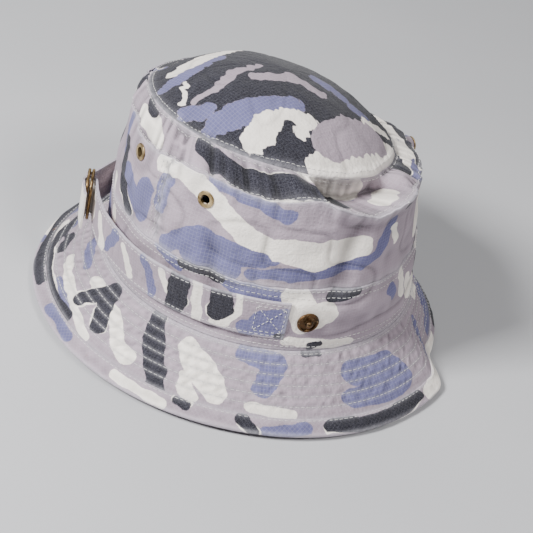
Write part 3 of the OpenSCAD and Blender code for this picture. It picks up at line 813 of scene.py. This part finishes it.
# %% Seam tapes
seam_tape = crown_layer("tip_seam_tape_strip", -180, 180, 1.68, 1.985, 8, 0.5, None, 0, 78, 20, CLOTH + 0.15)
dress(seam_tape, tape_cloth, "seam_tape", "tip_seam_tape")
wall_tape = crown_layer("wall_seam_tape_strip", -180, 180, 1.03, 1.36, 8, 0.5, None, 0, 86, 20, CLOTH + 0.15)
dress(wall_tape, tape_cloth, "seam_tape", "wall_seam_tape")
side_tapes = [crown_layer(f"side_seam_tape_strip_{side}", at - 4, at + 4, 0.03, 0.97, 24, 0.5, None, 0,
                          88, 48, CLOTH + 0.15) for side, at in (("right", -90), ("left", 90))]
dress(side_tapes[0], tape_cloth, "seam_tape", "side_seam_tapes")
dress(side_tapes[1], tape_cloth, "seam_tape")

# %% [markdown]
# ## Brim
# The brim is a cone of two cloths with a canvas between them, held together by rows of stitching. Each
# row pulls the cloth down into a groove, and the cloth between two rows puffs up and crinkles, since
# the thread has shrunk more than the cloth. The surface takes its grooves from the rows' places.

# %% Brim cloths
ROW_FIRST, ROW_PITCH, ROWS = 2.0, 6.0, 6
BINDING_W, CORE_T = 10.0, 2.4
core_w = BRIM_W - CLOTH

def quilting(angle, s):
    """How far the top cloth puffs up between the rows, in mm."""
    last_row = ROW_FIRST + (ROWS - 1) * ROW_PITCH
    between = np.abs(np.sin(np.pi * (s - ROW_FIRST) / ROW_PITCH))
    sewn = ease((s - 0.3) / 1.6) * ease((last_row + 3.5 - s) / 3)
    crinkle = 0.45 * clouds(angle, s, 190, 5, 51) + 0.4 * clouds(angle + s * 0.4, s, 270, 4, 52)
    return (0.3 * between + crinkle * (0.25 + 0.75 * between)) * (0.25 + 0.75 * sewn)

def brim_wave(angle, s):
    """A soft rise and fall of the whole brim, upwards only, and none at the seam."""
    return (1.5 * clouds(angle, 0, 7, 10, 55) + 1.5) * ease(s / BRIM_W) ** 1.5 * 0.8

def brim_points(a, s, t):
    hanging = ease(turn_between(a, 14) / 14) * ease(turn_between(100, a) / 34)
    droop = 1 - 0.42 * hanging * ease(s / 10)
    r = BAND_R + s * np.cos(BRIM_SLOPE) * droop + t * np.sin(BRIM_SLOPE)
    z = SEAM_Z - s * np.sin(BRIM_SLOPE) + t * np.cos(BRIM_SLOPE) + brim_wave(a, s)
    points = outwards(a) * r[..., None]
    points[..., 2] = z
    return points

BRIM_PRINT = [
    ("navy", 6.5, [(-80, 2), (-77, 14), (-73, 26), (-69, 38)]),
    ("off_white", 8.0, [(-66, 11), (-60, 20), (-54, 30)]),
    ("off_white", 4.5, [(-60, 38), (-64, 27)]),
    ("periwinkle", 7.5, [(-48, 3), (-38, 8), (-42, 22)]),
    ("periwinkle", 8.0, [(-14, 15), (2, 18), (4, 28), (-15, 29)]),
    ("periwinkle", 5.0, [(27, 15), (23, 38)]),
    ("navy", 6.0, [(-137, 38), (-122, 40), (-104, 39)]),
    ("navy", 6.0, [(-106, 24), (-100, 8), (-94, 28)]),
    ("off_white", 3.5, [(-126, 22), (-108, 28), (-94, 38)]),
    ("periwinkle", 4.0, [(-118, 32), (-104, 31)]),
    ("navy", 4.0, [(-28, 1), (-24, 1)]),
    ("off_white", 5.0, [(-108, 11), (-92, 18), (-80, 32)]),
    ("periwinkle", 5.0, [(-128, 6), (-117, 12)]),
    ("navy", 6.0, [(-141, 22), (-133, 27)]),
    ("off_white", 4.0, [(-44, 34), (-34, 38)]),
]

def brim_layer(name, t, s_from, s_to, columns, rows, thickness, quilted, printed):
    angle = np.linspace(-180, 180, columns, endpoint=False)
    a, s = np.meshgrid(angle, np.linspace(s_from, s_to, rows))
    puff = quilting(a, s) * quilted
    outer = brim_points(a, s, t + puff)
    outer, a, s = outer[::-1], a[::-1], s[::-1]
    uv = np.stack([np.radians(a) * (BAND_R + 24), s], -1)
    fields = None
    if printed:
        fields = print_round(a, s, BRIM_PRINT, BAND_R + 20, 500, -140, 32, 0.8)
        rows_at = np.abs(np.mod(s - ROW_FIRST + ROW_PITCH / 2, ROW_PITCH) - ROW_PITCH / 2)
        fields["worn"] = np.clip(0.45 * np.exp(-rows_at / 0.7) + worn_near(s, 1.2), 0, 1)
    return cloth_layer(name, outer, thickness, uv, fields)

brim_top = brim_layer("brim_top_cloth", 0.0, 0, core_w, 1100, 64, CLOTH * 0.85, 1, True)
dress(brim_top, camouflage, "camouflage_ripstop", "brim_top")
canvas = brim_layer("brim_canvas", -CLOTH - 0.05, 0.4, core_w - 0.3, 360, 20, 0.9, 0.0, False)
dress(canvas, stiff_cloth, "stiffener", "brim_stiffener")
brim_under = brim_layer("brim_under_cloth", CLOTH - CORE_T, 0, core_w, 700, 48, CLOTH, -0.6, True)
dress(brim_under, camouflage, "camouflage_ripstop", "brim_under")

# %% [markdown]
# The edges of the brim's cloths are turned up inside the band, where the sweatband covers them. They
# make a thick soft ring, and stop the brim from pulling out of its seam.

# %% Turned-up edges of the brim
_, edge_high = box_mm("brim_seam_allowance")
allowance = upright_layer("brim_turned_edges", BAND_R - 2 * CLOTH - 0.02, 0.1, edge_high[2] - SEAM_Z, 8, 0.7)
dress(allowance, lining, "inner_cloth", "brim_seam_allowance")

# %% [markdown]
# ## Binding
# A bias strip folds round the brim's edge. It is cut across the weave, so its print runs another way
# from the brim's. The edge has been handled and set down many times: it is puckered, and a little
# stained.

# %% Brim binding
BINDING_PRINT = [
    ("navy", 5.0, [(-24, 4), (-10, 6), (6, 3)]),
    ("off_white", 6.0, [(10, 6), (22, 5), (34, 6)]),
    ("navy", 4.0, [(-47, 3), (-43, 9)]),
    ("navy", 3.0, [(-63, 2), (-60, 4)]),
    ("off_white", 4.0, [(-80, 5), (-66, 7)]),
    ("navy", 5.0, [(-140, 5), (-122, 4)]),
    ("periwinkle", 4.0, [(-110, 5), (-98, 4)]),
    ("periwinkle", 4.0, [(-40, 8), (-30, 5)]),
]

def binding_profile():
    """The strip's outer face, from the top sewn edge, over the brim's edge, to the bottom one."""
    inner_s = BRIM_W - BINDING_W
    top, bottom = CLOTH, -CORE_T - CLOTH
    half = (top - bottom) / 2
    over = [(s, top) for s in np.linspace(inner_s, BRIM_W - half * 0.8, 12)]
    turn = np.linspace(90, -90, 12)[1:-1]
    bend = [(BRIM_W - half * 0.8 + half * 0.8 * np.cos(np.radians(d)),
             (top + bottom) / 2 + half * np.sin(np.radians(d))) for d in turn]
    under = [(s, bottom) for s in np.linspace(BRIM_W - half * 0.8, inner_s, 10)]
    return np.array(over + bend + under)

profile = binding_profile()
angle = np.linspace(-180, 180, 1000, endpoint=False)
a, k = np.meshgrid(angle, np.arange(len(profile)))
s, t = profile[k, 0], profile[k, 1]
pucker = 0.22 * clouds(a, k * 1.0, 170, 5, 61) + 0.14 * clouds(a, k * 1.0, 90, 4, 62)
edge_pull = 0.35 * np.exp(-((s - (BRIM_W - BINDING_W)) / 1.2) ** 2)
face = np.where(t > -1.2, 1, -1)
outer = brim_points(a, s, t + (pucker - edge_pull + 0.12) * face)
outer[..., 2] = np.maximum(outer[..., 2], 0)
run = np.concatenate([[0], np.cumsum(np.hypot(*np.diff(profile, axis=0).T))])
uv = np.stack([np.radians(a) * (BAND_R + 36) + run[k], run[k] - np.radians(a) * (BAND_R + 36)], -1) * 0.7071
fields = print_round(a, run[k], BINDING_PRINT, BAND_R + 36, 600, -140, 40)
fields["worn"] = np.clip(np.exp(-((s - BRIM_W) / 1.6) ** 2) * 0.7 + worn_near(run[k], 1.0), 0, 1)
binding = cloth_layer("brim_binding_strip", outer[::-1], CLOTH * 0.9, uv[::-1],
                      {key: v[::-1] for key, v in fields.items()})
dress(binding, binding_cloth, "camouflage_ripstop", "brim_binding")

# %% [markdown]
# ## Strap
# The strap is one length of folded cloth. It is sewn down at the front, lies along the band, swings
# free of it further back, and folds round the two brass rings.

# %% Path of the strap
STRAP_W, STRAP_T, STRAP_Z = 24.0, 1.2, 20.0
SLACK = 7.4
slack_centre = np.array([SLACK, SLACK]) * np.sin(np.radians(45))
SLACK_R = BAND_R + SLACK
RING_ANGLE, TAIL_END = -134.0, -121.0
TURN_R = 3.2
tail_angle = RING_ANGLE + np.degrees(np.arctan(8 / SLACK_R))

def slack_point(angle, out):
    return slack_centre + outwards(angle)[..., :2] * (SLACK_R + np.asarray(out)[..., None])

def strap_path():
    """Middle line of the strap seen from above, and which way is its outer face."""
    lie = np.arange(-37, -45, -0.75)
    line = [outwards(lie)[:, :2] * (BAND_R + 0.05 + STRAP_T / 2)]
    out = [outwards(lie)[:, :2]]
    free = np.append(np.arange(-45, tail_angle, -0.75), tail_angle)
    line.append(slack_point(free, np.full(free.shape, 0.05 + STRAP_T / 2)))
    out.append(outwards(free)[:, :2])
    end_out = outwards(np.array(tail_angle))[:2]
    along = np.array([-end_out[1], end_out[0]])
    back = -along if np.dot(-along, outwards(np.array(tail_angle - 1.0))[:2] - end_out) > 0 else along
    middle = slack_point(np.array(tail_angle), np.array(STRAP_T + TURN_R))
    turn = np.radians(np.linspace(0, 180, 15))[1:-1]
    r = TURN_R + STRAP_T / 2
    line.append(middle + r * (-np.cos(turn)[:, None] * end_out + np.sin(turn)[:, None] * back))
    out.append(-np.cos(turn)[:, None] * -end_out + np.sin(turn)[:, None] * -back)
    tail = np.arange(tail_angle, TAIL_END + 0.1, 0.6)
    line.append(slack_point(tail, np.full(tail.shape, 2 * TURN_R + STRAP_T + STRAP_T / 2)))
    out.append(-outwards(tail)[:, :2])
    return np.concatenate(line), np.concatenate(out)

line, out = strap_path()
gap = np.linalg.norm(np.diff(line, axis=0), axis=1)
far = np.concatenate([[0], np.cumsum(gap)])
steps = np.linspace(0, far[-1], 260)
line = np.stack([np.interp(steps, far, line[:, i]) for i in (0, 1)], -1)
out = np.stack([np.interp(steps, far, out[:, i]) for i in (0, 1)], -1)
out /= np.linalg.norm(out, axis=1, keepdims=True)
print("strap length", round(far[-1], 1), "mm")

# %% [markdown]
# The strap's print is mostly pale at the back. In front it carries two plain navy patches with a
# white strip between them, then periwinkle, with a navy corner at its worn end.

# %% Strap cloth
STRAP_PRINT = [
    ("navy", 6.5, [(61, 24), (62, 12), (63, 0)]),
    ("off_white", 3.0, [(52, 24), (51, 12), (49, 0)]),
    ("navy", 7.0, [(38, 23), (37, 13), (39, 10)]),
    ("off_white", 2.2, [(29, 24), (28, 12), (33, 4), (41, 3)]),
    ("periwinkle", 11.0, [(2, 12), (12, 9)]),
    ("periwinkle", 6.0, [(12, 8), (22, 4)]),
    ("navy", 3.5, [(0, 1), (4, 1)]),
    ("off_white", 3.5, [(68, 12), (74, 20)]),
    ("periwinkle", 3.4, [(78, 2), (82, 14), (88, 22)]),
    ("off_white", 3.5, [(96, 4), (104, 18)]),
    ("periwinkle", 4.0, [(112, 20), (122, 6)]),
    ("off_white", 5.5, [(128, 4), (136, 16)]),
    ("off_white", 14.0, [(160, 12), (190, 12)]),
]

def strap_sheet(rows=30):
    """Outer face of the strap: rows up its width, columns along its length."""
    across = np.linspace(0, 1, rows)
    w, s = np.meshgrid(across, steps, indexing="ij")
    edge = 0.14 * clouds(s, w * 3, 30, 8, 71) + 0.12 * clouds(s * 3, w * 20, 60, 6, 72)
    free = ease((s - 20) / 25)
    lean = (w - 0.5) * 2.4 * free * np.sin(np.clip((s - 20) / 110, 0, 1) * np.pi)
    flat_out = STRAP_T / 2 + edge * (0.3 + 0.7 * free)
    xy = line[None] + out[None] * (flat_out + np.maximum(lean, -0.4) * (s < 128))[..., None]
    z = SEAM_Z + STRAP_Z + (w - 0.5) * STRAP_W + 0.35 * clouds(s, 0, 16, 10, 73)
    return np.concatenate([xy, z[..., None]], -1), s, w * STRAP_W

sheet, s, w = strap_sheet()
flipped = sheet[:, ::-1]
fields = print_fields(s[:, ::-1] * 0.62, s[:, ::-1], w[:, ::-1], STRAP_PRINT, 700,
                      np.ones(s.shape))
fields["worn"] = np.clip(worn_near(w[:, ::-1], 0.9) + worn_near(w[:, ::-1] - STRAP_W, 0.9)
                         + worn_near(s[:, ::-1], 1.6), 0, 1)
strap = cloth_layer("strap_cloth", flipped, STRAP_T, np.stack([s, w], -1)[:, ::-1], fields, False)
dress(strap, camouflage, "camouflage_ripstop", "strap", "strap_tail", body=None)

# %% [markdown]
# ## Ring loop
# A short doubled cloth holds the straight bars of both rings and is sewn flat to the band. The CAD
# shape already fits round the bars with room to swing, so its copy is cut finer and softened a little.

# %% Cloth loop for the rings
def softened_copy(name, node, cuts, amount, seed):
    mesh = bmesh.new()
    mesh.from_mesh(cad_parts[node].data)
    bmesh.ops.remove_doubles(mesh, verts=mesh.verts, dist=1e-6)
    upright = [e for e in mesh.edges if abs(e.verts[0].co.z - e.verts[1].co.z) > 0.004]
    bmesh.ops.subdivide_edges(mesh, edges=upright, cuts=cuts, use_grid_fill=True)
    mesh.normal_update()
    co = np.array([v.co for v in mesh.verts]) * 1000
    normal = np.array([v.normal for v in mesh.verts])
    angle = np.degrees(np.arctan2(co[:, 0], -co[:, 1]))
    co = co + normal * (clouds(angle * 2, co[:, 2], 60, 5, seed) * amount)[:, None]
    for v, place in zip(mesh.verts, co * 0.001):
        v.co = place
    data = bpy.data.meshes.new(name)
    mesh.to_mesh(data)
    mesh.free()
    piece = bpy.data.objects.new(name, data)
    bpy.context.scene.collection.objects.link(piece)
    r = np.hypot(co[:, 0], co[:, 1])
    layer = data.uv_layers.new(name="cloth")
    corner = np.array([loop.vertex_index for loop in data.loops])
    uv = np.stack([np.radians(angle) * r, co[:, 2]], -1)[corner] * 0.001
    layer.data.foreach_set("uv", uv.astype(np.float32).ravel())
    height = co[:, 2] - SEAM_Z
    fields = print_fields(angle, np.radians(angle) * r, height, [("off_white", 30, [(-220, 20)])], 800,
                          np.ones(angle.shape))
    fields["worn"] = np.clip(worn_near(height - 31.5, 1) + worn_near(height - 8.5, 1), 0, 1)
    for key, values in fields.items():
        attribute = data.attributes.new(key, "FLOAT", "POINT")
        attribute.data.foreach_set("value", values.astype(np.float32))
    print(name, len(co), "corners")
    return piece

loop = softened_copy("ring_loop_cloth", "ring_loop", 14, 0.08, 81)
dress(loop, camouflage, "camouflage_ripstop", "ring_loop")

# %% [markdown]
# ## Stitches
# Thread is what shows how a hat is made, so every stitch is a small piece of thread of its own: it
# comes up out of the cloth, lies along it and goes back in. A row is given as points on the cloth with
# the way out of the cloth at each, and the stitches are spaced along it by length.

# %% Sew a row
def sew(points, away, stitch=2.4, gap=0.7, thread=0.26, lift=0.22, seed=0):
    """Corners and faces for the stitches of one row. points and away: n x 3."""
    rng = np.random.default_rng(seed)
    far = np.concatenate([[0], np.cumsum(np.linalg.norm(np.diff(points, axis=0), axis=1))])
    count = max(int(far[-1] / (stitch + gap)), 1)
    start = (np.arange(count) + 0.15) * far[-1] / count + rng.normal(0, 0.06, count)
    length = stitch * rng.uniform(0.92, 1.06, count)
    k = np.linspace(0, 1, 6)
    at = np.clip(start[:, None] + length[:, None] * k, 0, far[-1])
    centre = np.stack([np.interp(at, far, points[:, i]) for i in range(3)], -1)
    up = np.stack([np.interp(at, far, away[:, i]) for i in range(3)], -1)
    up /= np.linalg.norm(up, axis=-1, keepdims=True)
    rise = lift * np.array([-1.9, 0.35, 0.85, 0.85, 0.35, -1.9])
    centre = centre + up * rise[:, None]
    along = np.gradient(centre, axis=1)
    along /= np.maximum(np.linalg.norm(along, axis=-1, keepdims=True), 1e-9)
    side = np.cross(along, up)
    side /= np.maximum(np.linalg.norm(side, axis=-1, keepdims=True), 1e-9)
    over = np.cross(side, along)
    ring = np.radians(np.arange(0, 360, 60))
    r = thread * np.array([0.75, 1, 1, 1, 1, 0.75])
    circle = (side[:, :, None] * np.cos(ring)[:, None] + over[:, :, None] * np.sin(ring)[:, None])
    corners = (centre[:, :, None] + circle * r[:, None, None]).reshape(-1, 3)
    i = np.arange(36).reshape(6, 6)
    nxt = np.roll(i, -1, 1)
    quads = np.stack([i[:-1], nxt[:-1], nxt[1:], i[1:]], -1).reshape(-1, 4)
    ends = np.array([[0, 5, 2, 1], [5, 4, 3, 2], [30, 31, 32, 33], [30, 33, 34, 35]])
    one = np.concatenate([quads, ends])
    faces = (one[None] + 36 * np.arange(count)[:, None, None]).reshape(-1, 4)
    v = np.broadcast_to(k[None, :, None] * 2.4, (count, 6, 6)).reshape(-1)
    u = np.broadcast_to(np.arange(6)[None, None] * 0.26, (count, 6, 6)).reshape(-1)
    return corners, faces, np.stack([u, v], -1)

def thread_piece(name, rows, *nodes, body="hat"):
    corners, faces, uv, n = [], [], [], 0
    for c, f, t in rows:
        corners.append(c)
        faces.append(f + n)
        uv.append(t)
        n += len(c)
    piece = make_mesh(name, np.concatenate(corners), np.concatenate(faces), np.concatenate(uv))
    print(name, n // 36, "stitches")
    return dress(piece, thread_white, "white_thread", *nodes, body=body)

# %% [markdown]
# The brim has six rows and one more that holds the binding, each sewn through to the underside. The
# band has two rows above the brim seam and two below its top.

# %% Brim and band rows
full_turn = np.linspace(-180, 180, 1200)
rows = []
for i in range(ROWS):
    s = np.full(full_turn.shape, ROW_FIRST + i * ROW_PITCH)
    points = brim_points(full_turn, s, 0.06 + quilting(full_turn, s))
    above = outwards(full_turn) * np.sin(BRIM_SLOPE)
    above[:, 2] = np.cos(BRIM_SLOPE)
    rows.append(sew(points, above, 2.6, 0.6, 0.15, 0.16, 900 + i))
    below = brim_points(full_turn, s, CLOTH - CORE_T - CLOTH - 0.06)
    rows.append(sew(below, -above, 2.6, 0.6, 0.15, 0.16, 910 + i))
s = np.full(full_turn.shape, BRIM_W - BINDING_W + 1.3)
rows.append(sew(brim_points(full_turn, s, np.full(s.shape, CLOTH - 0.05)), above, 2.6, 0.6, 0.16, 0.18, 920))
rows.append(sew(brim_points(full_turn, s, np.full(s.shape, -CORE_T - CLOTH + 0.05)), -above, 2.6, 0.6, 0.16,
                0.18, 921))
thread_piece("brim_stitches", rows, "brim_stitching")

rows = []
for i, z in enumerate((3.0, 7.0, 34.0, 37.5)):
    height = np.full(full_turn.shape, z)
    points = outwards(full_turn) * (BAND_R + push(full_turn, height))[:, None]
    points[:, 2] = SEAM_Z + z
    rows.append(sew(points, outwards(full_turn), 2.4, 0.6, 0.17, 0.18, 930 + i))
thread_piece("band_stitches", rows, "band_stitching")

# %% [markdown]
# The crown's rows follow its seams, and the double rows at each side seam run up the wall. The points
# and the way out of the cloth come from the crown's own grid.

# %% Crown and side seam rows
def crown_row(angle, place, stitch, seed, lift=0.2):
    near = np.array([place - 0.004, place, place + 0.004])
    grid = crown_points(angle, near)
    return sew(grid[1], normals_of(grid, False)[1], stitch, 0.6, 0.17, lift, seed)

rows = [crown_row(full_turn, 1.085, 2.3, 940), crown_row(full_turn, 1.92, 2.3, 941),
        crown_row(full_turn, 2.03, 2.2, 942)]
thread_piece("crown_stitches", rows, "crown_stitching")

rows = []
for i, at in enumerate((-91.6, -93.2, 88.4, 86.8)):
    grid = crown_points(np.array([at - 0.1, at, at + 0.1]), np.linspace(0.03, 0.97, 60))
    rows.append(sew(grid[:, 1], outwards(np.full(60, at)), 2.4, 0.6, 0.17, 0.18, 950 + i))
thread_piece("side_seam_stitches", rows, "side_seam_stitching")

# %% [markdown]
# The strap is stitched along both edges and, at its front end, through to the band in a box with a
# cross. The edge rows bend with the strap.

# %% Strap rows
def on_strap(s, w):
    """Point of the strap's outer face at s mm from its front end and w mm up."""
    column = np.interp(s, steps, np.arange(len(steps)))
    row = w / STRAP_W * (sheet.shape[0] - 1)
    c0, r0 = np.floor(column).astype(int), np.floor(row).astype(int)
    c1, r1 = np.minimum(c0 + 1, len(steps) - 1), np.minimum(r0 + 1, sheet.shape[0] - 1)
    fc, fr = (column - c0)[:, None], (row - r0)[:, None]
    low = sheet[r0, c0] * (1 - fc) + sheet[r0, c1] * fc
    high = sheet[r1, c0] * (1 - fc) + sheet[r1, c1] * fc
    away = np.stack([np.interp(s, steps, out[:, 0]), np.interp(s, steps, out[:, 1]), 0 * s], -1)
    return low * (1 - fr) + high * fr, away

rows = []
sewn = np.linspace(1.6, steps[-1] - 1.0, 500)
for i, w_at in enumerate((2.0, STRAP_W - 2.0)):
    points, away = on_strap(sewn, np.full(sewn.shape, w_at))
    rows.append(sew(points, away, 2.4, 0.6, 0.18, 0.18, 960 + i))
strap_rows = thread_piece("strap_stitches", rows, "strap_stitching", body=None)

box = 16.0
low_w, first_s = (STRAP_W - box) / 2, 2.0
corners_sw = [(first_s, low_w), (first_s + box, low_w), (first_s + box, low_w + box), (first_s, low_w + box)]
lines = [(0, 1), (1, 2), (2, 3), (3, 0), (0, 2), (1, 3)]
rows = []
for i, (start, end) in enumerate(lines):
    t = np.linspace(0, 1, 40)
    (s0, w0), (s1, w1) = corners_sw[start], corners_sw[end]
    points, away = on_strap(s0 + (s1 - s0) * t, w0 + (w1 - w0) * t)
    rows.append(sew(points, away, 2.0, 0.7, 0.2, 0.22 + 0.1 * (i == 5), 970 + i))
thread_piece("strap_box_stitches", rows, "strap_box_stitching")

# %% [markdown]
# ## The strap stays where it is made
# The strap and its edge stitches ride on no body, and their transforms are applied to their meshes.

for piece in (strap, strap_rows):
    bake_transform(piece)

# %% [markdown]
# ## Studio
# A plain pale floor, a large soft light high on one side and a weaker one opposite show the folds
# without hard shadows. The camera looks down at the hat's right front, tilted a little.

# %% Floor, lights and camera
floor_mesh = bpy.data.meshes.new("floor")
floor_mesh.from_pydata([(-4, -4, 0), (4, -4, 0), (4, 4, 0), (-4, 4, 0)], [], [(0, 1, 2, 3)])
floor = bpy.data.objects.new("floor", floor_mesh)
bpy.context.scene.collection.objects.link(floor)
floor.location.z = -0.0005
paper = Nodes("pale_paper")
place = paper.add("ShaderNodeTexCoord").outputs["Object"]
tone = paper.noise(place, 6, 2)
paper.put(paper.shader.inputs["Base Color"], paper.mix(tone, colour(190, 191, 194), colour(198, 198, 200)))
paper.shader.inputs["Roughness"].default_value = 0.9
floor.data.materials.append(paper.material)

world = bpy.data.worlds.new("soft_room")
world.use_nodes = True
world.node_tree.nodes["Background"].inputs["Color"].default_value = (0.86, 0.9, 1.0, 1)
world.node_tree.nodes["Background"].inputs["Strength"].default_value = 0.08
bpy.context.scene.world = world

def soft_light(name, place, aim, size, watts, tint=(1, 1, 1)):
    lamp = bpy.data.lights.new(name, "AREA")
    lamp.size = size
    lamp.energy = watts
    lamp.color = tint
    obj = bpy.data.objects.new(name, lamp)
    bpy.context.scene.collection.objects.link(obj)
    obj.location = place
    obj.rotation_euler = (Vector(aim) - Vector(place)).to_track_quat("-Z", "Y").to_euler()
    return obj

middle = (0, 0, 0.08)
soft_light("window", (-1.05, 0.2, 1.0), middle, 0.35, 38)
soft_light("fill", (-0.1, -1.1, 1.25), middle, 0.4, 13, (1, 0.98, 0.97))
soft_light("back", (0.7, 0.9, 1.0), middle, 0.8, 6)

# %% Camera
VIEW_FROM, VIEW_UP, TILT = -52.0, 33.394, 13.379
eye_view = np.array([6.5, -700.1, 453.2]) * 1.004
turn = np.radians(VIEW_FROM)
right = np.array([np.cos(turn), np.sin(turn), 0])
away = np.array([-np.sin(turn), np.cos(turn), 0])
up_axis = np.array([0, 0, 1.0])
eye = right * eye_view[0] + away * eye_view[1] + up_axis * (eye_view[2] + SEAM_Z)
rise = np.radians(VIEW_UP)
forward = away * np.cos(rise) - up_axis * np.sin(rise)
up = away * np.sin(rise) + up_axis * np.cos(rise)
roll = np.radians(TILT)
image_right = right * np.cos(roll) + up * np.sin(roll)
image_up = -right * np.sin(roll) + up * np.cos(roll)

lens = bpy.data.cameras.new("camera")
lens.lens = 94.56
lens.sensor_width = 36
lens.clip_start = 0.01
camera = bpy.data.objects.new("camera", lens)
bpy.context.scene.collection.objects.link(camera)
matrix = np.eye(4)
matrix[:3, 0], matrix[:3, 1], matrix[:3, 2] = image_right, image_up, -forward
matrix[:3, 3] = eye * 0.001
camera.matrix_world = Matrix(matrix.tolist())
bpy.context.scene.camera = camera
print("camera at", np.round(eye * 0.001, 3))
